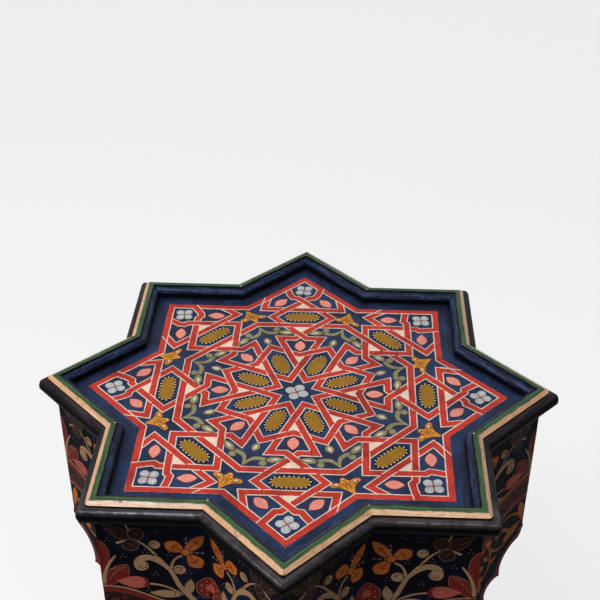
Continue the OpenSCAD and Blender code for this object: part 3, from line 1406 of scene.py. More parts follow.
    def lozenge(
        self, angle: float, r: float, half_long: float, half_wide: float, blunt: float, radial: bool
    ) -> None:
        """Paints a gold lozenge with a dark margin and a row of white dots.

        Args:
            angle: Direction from the centre.
            r: Distance from the centre.
            half_long: Half its length.
            half_wide: Half its width.
            blunt: Where its long sides end, as a share of half_long.
            radial: Whether it points to the centre.
        """
        end, shoulder = self.lozenge_end * half_wide, half_long * blunt
        half = [(half_long, end), (shoulder, half_wide), (-shoulder, half_wide), (-half_long, end)]
        corners = half + [(-x, -y) for x, y in half]
        rounded = []
        for i, corner in enumerate(corners):
            for other in (corners[i - 1], corners[(i + 1) % len(corners)]):
                rounded.append(Drawing.part_way(corner, other, self.lozenge_round))

        def turned(points: Iterable[Point]) -> list[Point]:
            """Places the lozenge's own points on the panel."""
            return [self.at(angle, r + x, y) if radial else self.at(angle, r + y, x) for x, y in points]

        margin = Drawing.grown(rounded, self.lozenge_margin)
        self.film(PanelColour.BLACK).lay(turned(margin), self.place, 0)
        self.film(PanelColour.GOLD).lay(turned(rounded), self.place, 1)
        row = Drawing.grown(rounded, self.bead_out)
        gap = sum(math.dist(row[i - 1], row[i]) for i in range(len(row))) / self.beads
        walked, laid = 0.0, 0
        for i, after in enumerate(row):
            before = row[i - 1]
            length = math.dist(before, after)
            while laid * gap <= walked + length and laid < self.beads:
                spot = turned([Drawing.part_way(before, after, (laid * gap - walked) / length)])[0]
                self.dab(PanelColour.WHITE, spot, self.bead_r, 2)
                laid += 1
            walked += length

    def drop(self, angle: float, r: float, t: float, lean: float, length: float, width: float) -> None:
        """Paints a pink drop with a dark outline, its point towards the centre.

        Args:
            angle: Direction from the centre.
            r: Distance along it.
            t: Distance beside it.
            lean: Turn of its length from that direction.
            length: Its length.
            width: Its width.
        """
        c, s = math.cos(lean), math.sin(lean)
        start = (r - length / 2 * c, t - length / 2 * s)
        end = (r + length / 2 * c, t + length / 2 * s)
        shape = Drawing.petal(start, end, width, 0.48, 0.86)
        outline = Drawing.grown(shape, self.drop_line)
        self.film(PanelColour.DARK_RED).lay([self.at(angle, *p) for p in outline], self.place, 0)
        self.film(PanelColour.PINK).lay([self.at(angle, *p) for p in shape], self.place, 1)

    def rosette(self, r: float, angle: float, lean: float, size: float = 1.0) -> None:
        """Paints a silver flower of four petals with a red cross.

        Args:
            r: Distance from the centre.
            angle: Direction from the centre.
            lean: Turn of the petals from the panel's diagonals.
            size: Size as a share of a tip's flower.
        """
        middle = self.at(angle, r, 0.0)
        spread, petal_r = self.petal_out * size * self.unit, self.petal_r * size * self.unit
        for i in range(4):
            a = math.pi / 4 + i * math.pi / 2 + lean
            petal = Drawing.disc(Drawing.off(middle, spread, a), petal_r, 14, 0.93, a)
            self.film(PanelColour.SILVER).lay(petal, self.place, 1)
            gleam = Drawing.off(middle, self.gleam_share * spread, a + 0.1)
            self.film(PanelColour.CREAM).lay(Drawing.disc(gleam, 1.1, 8, 0.8, a), self.place, 2)
            far = Drawing.off(middle, self.cross_share * spread, a + math.pi / 4)
            self.film(PanelColour.DARK_RED).run([middle, far], [1.1, 0.7], self.place, 3)
        self.dab(PanelColour.RED, middle, 1.1, 4)

    def patch(self, colour: PanelColour, angle: float, outline: Sequence[Point], coat: float) -> None:
        """Lays a patch that is drawn in pattern units along an arm."""
        self.film(colour).lay([self.at(angle, *p) for p in outline], self.place, coat)

    def outlined(self, colour: PanelColour, angle: float, outline: Sequence[Point], coat: float = 2) -> None:
        """Lays a patch with a fine dark red line round it."""
        self.patch(PanelColour.DARK_RED, angle, Drawing.grown(outline, self.fine_line), coat - 1)
        self.patch(colour, angle, outline, coat)

    def spray(self, angle: float) -> None:
        """Paints a vine spray: two branches, each with a bud and a berry, and a small bud apart.

        Args:
            angle: Direction from the centre.
        """
        green, pale = PanelColour.GREEN, PanelColour.PALE_GREEN
        for hand in (-1.0, 1.0):
            stem = [(0.565, 0.0), (0.535, 0.007), (0.508, 0.021), (0.494, 0.046), (0.490, 0.078)]
            line = Drawing.smooth([self.at(angle, r, t * hand) for r, t in stem], 4)
            last = len(line) - 1
            widths = [0.7 + 3.6 * math.sin(math.pi * 0.62 * i / last) for i in range(last + 1)]
            self.film(PanelColour.DARK_RED).run(line, [w + 0.9 for w in widths], self.place, 0)
            self.film(green).run(line, widths, self.place, 1)
            self.outlined(green, angle, Drawing.disc((0.516, 0.076 * hand), 0.0165, 14), 2)
            bud = Drawing.petal((0.492, 0.082 * hand), (0.452, 0.152 * hand), 0.036, 0.42)
            self.outlined(green, angle, bud, 3)
            gleam = Drawing.petal((0.482, 0.098 * hand), (0.462, 0.134 * hand), 0.013)
            self.patch(pale, angle, gleam, 4)
            calyx = [self.at(angle, 0.502, 0.076 * hand), self.at(angle, 0.479, 0.078 * hand)]
            self.film(PanelColour.DARK_RED).run(calyx, [0.5, 0.7], self.place, 4)
        self.outlined(green, angle, Drawing.petal((0.403, 0.0), (0.462, 0.0), 0.037, 0.5, 0.8), 2)
        self.patch(pale, angle, Drawing.petal((0.416, 0.0), (0.452, 0.0), 0.015), 3)

    def lily(self, corner: int) -> None:
        """Paints a golden flower at an inner corner: a slender bell with two curled petals and a tongue.

        Args:
            corner: Number of the inner corner, from +X.
        """
        angle = corner * PLAN.tip_step + PLAN.side_step
        dr, dt = self.lily_shifts[corner]
        half = (
            (0.722, 0.004), (0.704, 0.012), (0.686, 0.021), (0.670, 0.036), (0.661, 0.056),
            (0.652, 0.070), (0.640, 0.068), (0.634, 0.054), (0.636, 0.038), (0.642, 0.024),
            (0.634, 0.015), (0.622, 0.012), (0.614, 0.004),
        )
        lean = self.lily_leans[corner]

        def leaned(r: float, t: float) -> Point:
            """Moves a point of the flower as it was painted at this corner."""
            return (r + dr, t + dt + lean * (r - self.lily_r))

        bell = [leaned(r, t) for r, t in half] + [leaned(r, -t) for r, t in reversed(half)]
        self.outlined(PanelColour.ORANGE, angle, bell, 2)
        ochre, dark, pale = PanelColour.OCHRE, PanelColour.DARK_RED, PanelColour.PALE_GREEN
        marks = [
            (ochre, (0.700, 0.004), (0.652, 0.012), 0.008),
            (ochre, (0.690, -0.008), (0.650, -0.014), 0.007),
            (dark, (0.672, 0.0), (0.640, 0.001), 0.006),
            (ochre, (0.640, 0.0), (0.620, 0.0), 0.010),
        ]
        for hand in (-1.0, 1.0):
            marks += [
                (ochre, (0.668, 0.022 * hand), (0.650, 0.062 * hand), 0.010),
                (ochre, (0.652, 0.026 * hand), (0.640, 0.060 * hand), 0.007),
                (dark, (0.662, 0.010 * hand), (0.641, 0.024 * hand), 0.004),
                (pale, (0.653, 0.034 * hand), (0.645, 0.052 * hand), 0.009),
            ]
        marks.append((pale, (0.630, 0.0), (0.620, 0.001), 0.007))
        for nth, (colour, start, end, width) in enumerate(marks):
            mark = Drawing.petal(leaned(*start), leaned(*end), self.mark_swell * width)
            self.patch(colour, angle, mark, 3 + self.mark_coat * nth)

    def triangles(self, angle: float) -> None:
        """Paints the beige triangles that show between crossing bands on an arm.

        Args:
            angle: Direction of the arm.
        """
        shapes = (
            ((0.195, 0.0), (0.292, 0.05), (0.292, -0.05)),
            ((0.474, 0.0), (0.545, 0.07), (0.545, -0.07)),
            ((0.762, 0.0), (0.692, 0.07), (0.692, -0.07)),
        )
        for shape in shapes:
            self.patch(PanelColour.BEIGE, angle, shape, 0)

    def build(self) -> None:
        """Paints the whole panel."""
        self.paint_bands()
        self.paint_crossings()
        self.rosette(0.0, 0.0, self.middle_lean, self.middle_size)
        for arm in range(PLAN.tips):
            axis = arm * PLAN.tip_step
            between = axis + PLAN.side_step
            self.triangles(axis)
            self.lozenge(between, *self.heart_lozenge, True)
            self.lozenge(axis, *self.arm_lozenge, False)
            self.drop(axis, *self.heart_drop)
            r, t, lean, length, width = self.arm_drop
            for hand in (-1.0, 1.0):
                self.drop(axis, r, t * hand, lean * hand, length, width)
            self.rosette(self.rosette_r, axis, self.leans[arm])
            self.paint_landings(arm)
            self.spray(between)
            self.lily(arm)
        self.dry()


@dataclass
class SidePainting(Painting):
    """The flowers and scrolls of one side, repeated in mirror on all sixteen.

    A point is its distance from the tip edge and its drop under the panel, in millimetres. An arch's
    lobe is the point of its centre and its radius.
    """

    prefix: ClassVar[str] = "side"
    slot: ClassVar[Slot] = Slot.SIDES
    crest: tuple[Point, ...] = (
        (0.0, 93.0), (2.0, 93.0), (12.0, 93.6), (22.0, 95.6), (32.0, 99.4), (41.0, 103.7),
        (50.0, 108.0), (61.0, 113.0), (73.0, 118.5), (84.0, 124.5), (94.5, 130.5), (96.0, 130.5),
    )
    foot: tuple[float, ...] = (
        123.5, 123.5, 124.0, 126.0, 129.8, 136.0, 144.5, 152.5, 159.5, 165.0, 169.0, 169.0,
    )
    lobes: tuple[Spot, ...] = ((0.0, 211.0, 30.0), (35.0, 235.0, 16.0), (43.0, 262.0, 15.0))
    flank: Spot = (13.73, 170.25, 14.0)
    leg_u: float = 54.0
    rule: Place | None = None

    def place(self, u: float, drop: float, proud: float) -> Vector:
        """Puts a point on the side that is being painted."""
        return self.rule(u, drop, proud)

    def fill(self, colour: SideColour, outline: Sequence[Point], coat: float) -> None:
        """Lays a patch, cut at the side's two edges."""
        shape = Drawing.clipped(outline, 0.0, PLAN.side_length)
        self.film(colour).lay(shape, self.place, coat)

    def edged(
        self, colour: SideColour, line: SideColour, outline: Sequence[Point], coat: float, edge: float = 0.55
    ) -> None:
        """Lays a patch with an outline round it.

        Args:
            colour: The patch's paint.
            line: The outline's paint.
            outline: Where the patch ends.
            coat: The patch's coat.
            edge: Width of the outline.
        """
        self.fill(line, Drawing.grown(outline, edge), coat - 1)
        self.fill(colour, outline, coat)

    def stroke(
        self,
        colour: SideColour,
        points: Sequence[Point],
        start: float,
        middle: float,
        end: float,
        coat: float,
    ) -> None:
        """Lays a smooth stroke whose width changes along it.

        Args:
            colour: Its paint.
            points: Points that it runs through.
            start: Its width at the start.
            middle: Its width halfway.
            end: Its width at the end.
            coat: Its coat.
        """
        line = Drawing.smooth(points)
        last = len(line) - 1
        pull = 2 * middle - (start + end) / 2
        shares = [i / last for i in range(len(line))]
        widths = [(1 - s) ** 2 * start + 2 * s * (1 - s) * pull + s**2 * end for s in shares]
        self.film(colour).run(line, widths, self.place, coat)

    def curl(self, centre: Point, radius: float, turn: float) -> None:
        """Paints a rolled scroll end with a dark spiral line in it.

        Args:
            centre: Its centre.
            radius: Its radius.
            turn: Angle at which the spiral starts.
        """
        self.edged(SideColour.BEIGE, SideColour.BROWN, Drawing.disc(centre, radius, 18), 3)
        spiral = [Drawing.off(centre, radius * (0.95 - 0.1 * i), turn + 0.55 * i) for i in range(9)]
        self.stroke(SideColour.DEEP_RED, spiral, 0.3, 0.7, 0.5, 6)

    def dots(self, spots: Iterable[Point]) -> None:
        """Paints white dots in threes.

        Args:
            spots: The middle of each three.
        """
        for u, drop in spots:
            for aside, down in ((0.0, -2.1), (1.9, 1.4), (-1.9, 1.6)):
                self.dab(SideColour.WHITE, (u + aside, drop + down), 0.5, 1)

    def berries(self) -> None:
        """Paints the dark leaf and the two dark berries near the tip's top."""
        leaf = Drawing.petal((30.0, 34.5), (6.8, 18.0), 11.5, 0.45, 1.1)
        self.edged(SideColour.BROWN, SideColour.LINE, leaf, 2, 0.35)
        self.stroke(SideColour.LINE, [(11.0, 22.5), (18.0, 28.0)], 0.3, 0.5, 0.3, 3)
        for centre in ((34.0, 27.4), (28.5, 40.6)):
            self.edged(SideColour.BROWN, SideColour.LINE, Drawing.disc(centre, 6.8, 20), 4, 0.4)
            for aside in (-1.6, 0.2, 1.8):
                self.dab(SideColour.LINE, (centre[0] + aside, centre[1] + 0.7 * aside - 0.4), 0.4, 6, 6)
        self.stroke(SideColour.BEIGE, [(26.2, 16.5), (28.4, 24.0)], 1.4, 1.8, 0.8, 5)
        self.stroke(SideColour.BEIGE, [(16.5, 39.2), (24.5, 35.5)], 2.4, 2.0, 0.8, 5)

    def scrolls(self) -> None:
        """Paints the beige scroll stem with its curls and leaves."""
        stem = [
            (35.0, 35.5), (43.0, 43.0), (52.0, 56.0), (60.5, 69.5),
            (64.5, 79.0), (68.5, 90.0), (74.0, 99.0), (80.5, 108.5),
        ]
        branch = [(62.5, 72.0), (54.0, 61.5), (44.0, 55.5), (36.0, 58.0), (33.0, 65.0)]
        twig = [(62.5, 68.0), (63.5, 62.0), (67.0, 55.5), (72.5, 52.0)]
        bud_stem = [(42.5, 88.5), (52.0, 90.0), (62.0, 94.5), (71.0, 101.5)]
        for path, start, middle, end in (
            (stem, 1.0, 3.8, 5.5), (branch, 3.0, 6.4, 7.6), (twig, 3.0, 2.2, 2.4), (bud_stem, 2.6, 1.9, 2.6),
        ):
            self.stroke(SideColour.BROWN, path, start + 0.9, middle + 0.9, end + 0.9, 0)
            self.stroke(SideColour.BEIGE, path, start, middle, end, 2)
        self.curl((49.4, 39.5), 5.0, 1.8)
        self.curl((69.4, 69.4), 5.6, 2.6)
        self.curl((36.2, 65.6), 6.4, 5.4)
        for base, tip, width in (
            ((71.0, 101.5), (41.5, 100.0), 9.5),
            ((75.5, 101.0), (78.8, 81.0), 9.0),
        ):
            self.edged(SideColour.BEIGE, SideColour.BROWN, Drawing.petal(base, tip, width, 0.5), 3)
        for path in (
            [(64.5, 96.0), (63.3, 103.5)],
            [(70.5, 98.5), (67.5, 104.5)],
            [(47.5, 51.0), (55.0, 55.5)],
        ):
            self.stroke(SideColour.DEEP_RED, path, 0.4, 0.7, 0.4, 6)

    def lily(self) -> None:
        """Paints the orange flower near the inner corner, with its beaded stamens."""
        heart = (75.8, 47.4)
        petals = (((58.6, 37.0), 13.5, 0.62), ((92.2, 27.0), 10.5, 0.5), ((88.5, 66.0), 14.0, 0.66))
        for tip, width, belly in petals:
            shape = Drawing.petal(heart, tip, width, belly, 0.75)
            self.edged(SideColour.ORANGE, SideColour.RED, shape, 3, 0.7)
            self.stroke(SideColour.RED, [heart, Drawing.part_way(heart, tip, 2 / 3)], 1.3, 0.9, 0.5, 5)
            across = Drawing.part_way(heart, tip, 0.5)
            dx, dy = tip[0] - heart[0], tip[1] - heart[1]
            size = math.hypot(dx, dy)
            off = (-dy / size * width * 0.36, dx / size * width * 0.36)
            rib = [
                (across[0] + off[0], across[1] + off[1]),
                (across[0] + dx * 0.12, across[1] + dy * 0.12),
                (across[0] - off[0], across[1] - off[1]),
            ]
            self.stroke(SideColour.RED, rib, 0.6, 1.0, 0.6, 6)
        for end in ((77.2, 29.0), (92.4, 48.2)):
            for i in range(6):
                bead = Drawing.part_way(heart, end, (i + 1.2) / 7)
                self.dab(SideColour.WHITE if i % 2 else SideColour.RED, bead, 0.95, 5)
        self.edged(SideColour.ORANGE, SideColour.RED, Drawing.disc(heart, 3.7, 14), 8, 0.7)

    def bud(self) -> None:
        """Paints the pink bud that lies towards the tip."""
        shape = Drawing.petal((41.5, 87.5), (12.5, 86.3), 15.0, 0.4)
        self.edged(SideColour.PINK, SideColour.DEEP_RED, shape, 3)
        cap = [(42.0, 88.0), (40.8, 82.6), (36.5, 80.2), (38.4, 86.6), (36.4, 93.2), (40.6, 92.6)]
        self.fill(SideColour.RED, cap, 6)

    def tulip(self) -> None:
        """Paints the red tulip that folds round the tip edge."""
        outer = Drawing.petal((2.0, 94.0), (24.0, 66.0), 16.0, 0.6, 0.7)
        self.edged(SideColour.RED, SideColour.LINE, outer, 2, 0.45)
        self.stroke(SideColour.LINE, [(4.0, 88.0), (12.0, 76.5), (21.5, 67.5)], 0.3, 0.6, 0.3, 5)
        self.stroke(SideColour.LINE, [(8.0, 71.5), (15.0, 70.0), (22.5, 68.5)], 0.3, 0.5, 0.3, 5)
        edge = [(-1.0, 34.0), (4.0, 38.5), (8.4, 47.0), (9.0, 56.0), (6.0, 70.0), (2.0, 84.0), (-1.0, 88.0)]
        self.edged(SideColour.RED, SideColour.LINE, edge, 2, 0.45)
        self.stroke(SideColour.BEIGE, [(1.5, 90.0), (3.0, 79.0), (7.5, 66.0), (14.4, 54.5)], 3.4, 2.8, 1.6, 6)
        self.stroke(SideColour.DEEP_RED, [(1.0, 46.0), (3.0, 56.0), (2.0, 68.0)], 0.4, 0.9, 0.4, 4)

    def rose(self) -> None:
        """Paints the dark red rose across the inner corner."""
        centre = (PLAN.side_length, 91.5)
        radius = 13.4
        self.fill(SideColour.RED, Drawing.disc(centre, 11.5, 20), 0)
        for i in range(8):
            a = math.pi * (0.5 + (i + 0.5) / 4)
            petal = Drawing.petal(centre, Drawing.off(centre, radius, a), 11.0, 0.7, 0.5)
            self.edged(SideColour.RED, SideColour.LINE, petal, 2)
            self.fill(SideColour.BEIGE, Drawing.disc(Drawing.off(centre, 9.0, a), 0.8, 8), 5)
            near = Drawing.off(centre, 6.2, a + 0.4)
            self.fill(SideColour.PINK, Drawing.petal(centre, near, 2.2, 0.5), 5)
        self.fill(SideColour.PINK, Drawing.disc(centre, 3.4, 12), 7)
        self.fill(SideColour.RED, Drawing.disc(centre, 1.2, 10), 8)

    def between(self, share: float) -> list[Point]:
        """Gives a line between the frieze's crest and its foot."""
        return Drawing.smooth([(u, d + share * (f - d)) for (u, d), f in zip(self.crest, self.foot)], 3)

    def frieze(self) -> None:
        """Paints the arched double band under the flowers, with its brocade."""
        brocade = self.between(0.5)
        self.fill(SideColour.BROWN, self.between(0.04) + self.between(0.96)[::-1], 0)
        for colour, share, width, coat in (
            (SideColour.RED, 0.12, 6.6, 1),
            (SideColour.RED, 0.87, 5.4, 1),
            (SideColour.BEIGE, 0.0, 1.5, 2),
            (SideColour.UMBER, 0.235, 0.8, 2),
            (SideColour.UMBER, 0.78, 0.8, 2),
            (SideColour.LINE, 1.0, 1.5, 2),
        ):
            line = self.between(share)
            self.film(colour).run(line, [width] * len(line), self.place, coat)
        for i, (u, drop) in enumerate(brocade[2:-2:3]):
            lift = 2.4 if i % 2 else -2.0
            leaf = Drawing.petal((u - 3.4, drop + 2.6 + lift), (u + 3.2, drop - 2.4 + lift), 4.6, 0.6)
            self.fill(SideColour.UMBER, leaf, 2)
            self.fill(SideColour.UMBER, Drawing.disc((u + 3.6, drop + 3.6 - lift), 1.7, 10), 3)
            self.fill(SideColour.DEEP_RED, Drawing.disc((u - 0.4, drop + lift), 0.8, 8), 4)

    def arabesque(self) -> None:
        """Paints the copper and orange scrolls between the frieze and the arch."""
        copper, orange, dark = SideColour.COPPER, SideColour.ORANGE, SideColour.DEEP_RED
        over = [(36.0, 139.0), (27.0, 136.6), (18.0, 138.5), (10.0, 144.0), (4.8, 152.0), (2.4, 159.0)]
        under = [(53.5, 160.5), (47.0, 170.5), (37.0, 175.0), (28.0, 172.5), (18.0, 166.0), (10.0, 158.5)]
        hook = [(21.0, 162.0), (28.0, 154.0), (36.5, 150.8), (42.0, 154.0)]
        stem = [(55.0, 160.0), (51.6, 168.0), (49.6, 178.0), (50.0, 190.0), (53.6, 198.0), (58.5, 203.0)]
        for path, start, middle, end in (
            (over, 1.6, 3.2, 1.8), (under, 2.4, 3.4, 2.4), (hook, 3.0, 5.0, 3.6), (stem, 2.2, 2.8, 2.0),
        ):
            self.stroke(dark, path, start + 0.8, middle + 0.8, end + 0.8, 0)
            self.stroke(copper, path, start, middle, end, 2)
        self.edged(orange, dark, Drawing.petal((2.6, 158.0), (9.6, 127.5), 9.0, 0.66, 0.7), 3)
        self.edged(orange, dark, Drawing.petal((31.0, 168.5), (5.5, 156.0), 11.0, 0.45, 1.0), 3)
        self.stroke(dark, [(28.0, 166.8), (19.0, 162.0), (10.0, 158.0)], 0.4, 0.8, 0.4, 5)
        for centre, radius, colour in (
            ((55.0, 155.4), 4.6, orange),
            ((42.6, 155.0), 3.0, copper),
            ((63.5, 186.0), 4.4, copper),
            ((62.0, 203.0), 4.8, orange),
        ):
            self.edged(colour, dark, Drawing.disc(centre, radius, 16), 4)
        for base, tip, width in (
            ((58.0, 158.5), (74.0, 168.0), 6.5),
            ((52.0, 181.0), (62.0, 170.0), 5.5),
            ((50.2, 188.0), (38.5, 182.5), 5.0),
            ((63.0, 207.0), (61.0, 222.0), 6.0),
            ((66.0, 204.0), (78.0, 196.0), 5.5),
        ):
            self.edged(copper, dark, Drawing.petal(base, tip, width, 0.45), 3)
        self.dots(((28.0, 145.5), (41.0, 164.0), (43.0, 192.0), (72.0, 182.0), (84.0, 178.0), (84.0, 206.0)))

    def arch_line(self, inset: float) -> list[Point]:
        """Follows the arch's edge inside the wood, from the tip down to the foot.

        Args:
            inset: Distance from the edge.

        Returns:
            The line.
        """
        u, drop, radius = self.flank
        line = [(0.0, drop - 3.4 - inset), (0.9, drop - 3.4 - inset)]
        for degrees in (180, 168, 156, 144, 134):
            line.append(Drawing.off((u, drop), radius - inset, math.radians(degrees)))
        start = line[-1][0]
        rings = [(u, drop, radius + inset) for u, drop, radius in self.lobes]
        for u, drop, radius in rings:
            for degrees in range(-100, 46, 5):
                spot = Drawing.off((u, drop), radius, math.radians(degrees))
                hidden = any(math.dist(spot, ring[:2]) < ring[2] - 0.01 for ring in rings)
                past = degrees > 0 and spot[0] < self.leg_u + inset and drop == rings[-1][1]
                if spot[0] > start and not hidden and not past:
                    line.append(spot)
        return line + [(self.leg_u + inset, drop) for drop in (276.0, 330.0, 400.0, 484.0)]

    def arch_border(self) -> None:
        """Paints the red border along the arch and down the leg, with a fine line beside it."""
        for colour, inset, width, coat in (
            (SideColour.DEEP_RED, 2.9, 5.4, 1),
            (SideColour.RED, 2.6, 3.2, 2),
            (SideColour.LINE, 5.9, 0.9, 2),
        ):
            line = self.arch_line(inset)
            self.film(colour).run(line, [width] * len(line), self.place, coat)

    def leg_vine(self) -> None:
        """Paints the vine that climbs the leg."""
        stem = [
            (75.0, 478.0), (78.5, 452.0), (74.0, 428.0), (71.0, 404.0), (75.0, 380.0), (79.0, 356.0),
            (75.0, 332.0), (71.0, 308.0), (75.0, 285.0), (79.0, 262.0), (74.0, 240.0), (67.0, 224.0),
        ]
        self.stroke(SideColour.DEEP_RED, stem, 2.6, 2.6, 2.0, 0)
        self.stroke(SideColour.COPPER, stem, 1.8, 1.8, 1.2, 2)
        for i, (u, drop) in enumerate(stem[1:-1]):
            hand = 1.0 if i % 2 else -1.0
            leaf = Drawing.petal((u, drop), (u + 12.5 * hand, drop - 11.0), 6.0, 0.5)
            self.edged(SideColour.COPPER if i % 3 else SideColour.RED, SideColour.DEEP_RED, leaf, 3)
            berry = (u - 7.5 * hand, drop - 4.0)
            self.stroke(SideColour.COPPER, [(u, drop + 3.0), berry], 0.8, 0.8, 0.8, 1)
            self.edged(SideColour.ORANGE, SideColour.DEEP_RED, Drawing.disc(berry, 2.3, 12), 4)
        self.dots(((84.0, 246.0), (66.0, 272.0), (86.0, 300.0), (65.5, 346.0)))
        self.dots(((86.5, 392.0), (66.0, 438.0), (85.0, 470.0)))

    def build(self) -> None:
        """Paints all sides."""
        for side in range(1, PLAN.sides + 1):
            self.rule = PLAN.on_side(side)
            self.berries()
            self.scrolls()
            self.lily()
            self.bud()
            self.tulip()
            self.rose()
            self.frieze()
            self.arabesque()
            self.arch_border()
            self.leg_vine()
            self.dots(((9.0, 35.5), (21.3, 54.6), (40.6, 47.8), (61.4, 50.5), (48.0, 75.9), (77.8, 72.8)))
            self.dots(((41.0, 96.2), (85.6, 103.4), (52.5, 24.0), (66.0, 21.0), (20.0, 101.5)))
        self.dry()


@dataclass
class MitrePutty:
    """Specks of pale putty that show where the rim is mitred at the inner corners."""

    inset: float = 1.46
    speck_r: float = 0.9

    def place(self, x: float, y: float, proud: float) -> Vector:
        """Puts a point in millimetres on the rim's flat top."""
        return Vector((x, y, PLAN.table_h + proud)) * MM

    def build(self) -> None:
        """Lays the specks."""
        film = Film("rim_mitre_putty", PanelColour.BEIGE.value, Slot.RIM)
        corner_r = PLAN.top_r(PLAN.bevel_w + PLAN.flat_w - self.inset) * PLAN.valley_share
        for i in range(PLAN.tips):
            a = (i + 0.5) * PLAN.tip_step
            spot = Drawing.off((0.0, 0.0), corner_r, a)
            speck = Drawing.disc(spot, self.speck_r * (1.0 if i % 3 else 0.6), 8, 0.7, a)
            film.lay(speck, self.place, 0)
        film.build()


@dataclass(frozen=True)
class SoftLamp:
    """A soft lamp that points at the top of the table, with lengths in metres."""

    name: str
    at: Spot
    across: float
    along: float
    power: float
    colour: Colour
    aim: Spot = (0.0, 0.0, 0.46)

    def hang(self) -> None:
        """Makes the lamp."""
        data = bpy.data.lights.new(self.name, "AREA")
        data.shape = "RECTANGLE"
        data.size, data.size_y = self.across, self.along
        data.energy = self.power
        data.color = self.colour
        lamp = bpy.data.objects.new(self.name, data)
        way = Vector(self.aim) - Vector(self.at)
        lamp.matrix_world = Matrix.Translation(self.at) @ way.to_track_quat("-Z", "Y").to_matrix().to_4x4()
        bpy.context.scene.collection.objects.link(lamp)


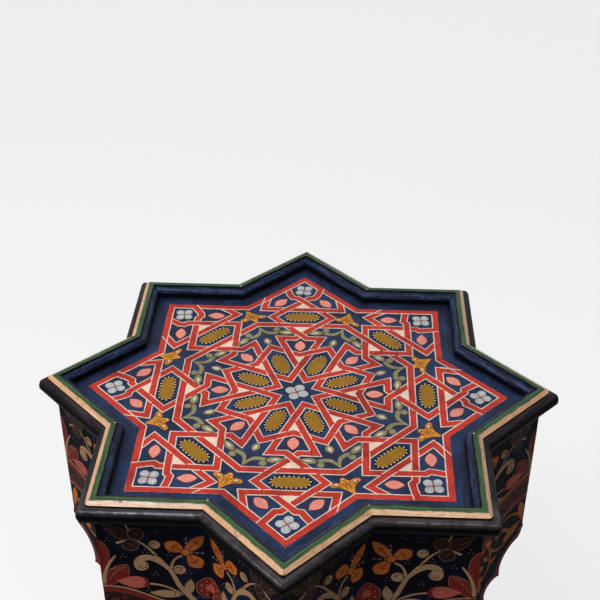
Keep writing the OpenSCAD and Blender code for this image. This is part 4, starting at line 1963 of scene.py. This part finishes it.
@dataclass
class Studio:
    """Floor, lamps, world and camera, with lengths in metres and angles in radians."""

    camera_at: Spot = (0.0379, -0.8415, 1.1653)
    pitch: float = 0.596233
    yaw: float = -0.041708
    roll: float = 0.002705
    lens: float = 67.81
    sensor: float = 36.0
    floor_half: float = 6.0
    floor_colour: Colour = (0.22, 0.22, 0.22)
    floor_glow: float = 0.75
    floor_roughness: float = 0.9
    floor_specular: float = 0.1
    floor_scale: float = 60.0
    floor_relief_mm: float = 0.1
    backdrop: float = 0.92
    lamps: tuple[SoftLamp, ...] = (
        SoftLamp("overhead_lamp", (-0.4, -0.72, 2.28), 0.36, 0.72, 15.6, (0.8, 0.9, 1.0)),
        SoftLamp("front_lamp", (0.29, -0.87, 2.1), 0.24, 0.4, 2.8, (1.0, 0.93, 0.86)),
        SoftLamp("window_lamp", (-1.608, -0.65, 1.8), 0.5, 0.5, 16.5, (1.0, 0.9, 0.77)),
    )
    sky_low: float = 0.04
    sky_high: float = 0.5
    sky_left: float = 1.3
    sky_right: float = 0.6

    def floor(self) -> None:
        """Lays the plain floor, pale to the camera and mid grey in what it throws back."""
        half = self.floor_half
        mesh = bpy.data.meshes.new("studio_floor")
        corners = [(-half, -half, 0.0), (half, -half, 0.0), (half, half, 0.0), (-half, half, 0.0)]
        mesh.from_pydata(corners, [], [(0, 1, 2, 3)])
        shader = Shader("studio_floor")
        shader.bump(shader.noise(self.floor_scale, 2.0), self.floor_relief_mm)
        material = shader.finish(self.floor_colour, self.floor_roughness, self.floor_specular)
        seen = shader.background_rays()
        glow = shader.add("ShaderNodeEmission")
        shader.join(shader.math("MULTIPLY", seen, self.floor_glow), glow.inputs["Strength"])
        both = shader.add("ShaderNodeAddShader")
        shader.join(shader.surface.outputs[0], both.inputs[0])
        shader.join(glow.outputs[0], both.inputs[1])
        output = shader.tree.nodes["Material Output"]
        shader.join(both.outputs[0], output.inputs["Surface"])
        mesh.materials.append(material)
        piece = bpy.data.objects.new("studio_floor", mesh)
        bpy.context.scene.collection.objects.link(piece)

    def camera(self) -> None:
        """Sets the camera up."""
        data = bpy.data.cameras.new("view")
        data.lens = self.lens
        data.sensor_width = self.sensor
        holder = bpy.data.objects.new("view", data)
        turn = (
            Matrix.Rotation(-self.yaw, 4, "Z")
            @ Matrix.Rotation(math.pi / 2 - self.pitch, 4, "X")
            @ Matrix.Rotation(self.roll, 4, "Z")
        )
        holder.matrix_world = Matrix.Translation(self.camera_at) @ turn
        bpy.context.scene.collection.objects.link(holder)
        bpy.context.scene.camera = holder

    def light(self) -> None:
        """Hangs the lamps, and sets the even light from above."""
        for lamp in self.lamps:
            lamp.hang()
        world = bpy.data.worlds.new("studio")
        world.use_nodes = True
        sky = Nodes(world.node_tree)
        way = sky.add("ShaderNodeTexCoord").outputs["Generated"]
        rise = sky.span(sky.axis("Z", way), 0.0, 1.0, self.sky_low, self.sky_high, "LINEAR")
        lean = sky.span(sky.axis("X", way), -1.0, 1.0, self.sky_left, self.sky_right, "LINEAR")
        choose = sky.add("ShaderNodeMix", data_type="FLOAT")
        sky.join(sky.background_rays(), choose.inputs["Factor"])
        sky.join(sky.math("MULTIPLY", rise, lean), choose.inputs["A"])
        sky.join(self.backdrop, choose.inputs["B"])
        ground = sky.tree.nodes["Background"]
        sky.join(choose.outputs["Result"], ground.inputs["Strength"])
        sky.join((1.0, 1.0, 1.0), ground.inputs["Color"])
        bpy.context.scene.world = world
        bpy.context.scene.view_settings.view_transform = "Standard"

    def build(self) -> None:
        """Sets the studio up."""
        self.floor()
        self.camera()
        self.light()
        log.info("studio is set")


@dataclass
class Carcass:
    """The joiner's pieces of the frame, each given its finish."""

    finishes: dict[str, Finish] = field(
        default_factory=lambda: {
            "top_board": PanelBlue(),
            "side_board": SideGround(),
            "corner_block": BareWood(),
            "rim": RimPaint(),
            "nosing": BlackLacquer(),
            "top_nails": DrawnSteel(),
            "rim_pins": DrawnSteel("pin_steel"),
            "nosing_pins": DrawnSteel("brad_steel"),
        }
    )

    def build(self) -> None:
        """Gives every piece of the frame its finish."""
        made = {stem: finish.material() for stem, finish in self.finishes.items()}
        for name, node in sorted(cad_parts.items()):
            stem = name if name in made else name.rstrip("0123456789").rstrip("_")
            material = made[stem]
            if not node.material_slots:
                node.data.materials.append(material)
            for holder in node.material_slots:
                holder.material = material
            for face in node.data.polygons:
                face.use_smooth = False
            log.info("%s: %s", name, material.name)


def main() -> None:
    """Builds the scene, from the joiner's pieces to the studio."""
    logging.basicConfig(level=logging.INFO, format="%(name)s %(message)s")
    Carcass().build()
    PanelPainting().build()
    SidePainting().build()
    MitrePutty().build()
    Studio().build()


if __name__ == "__main__":
    main()
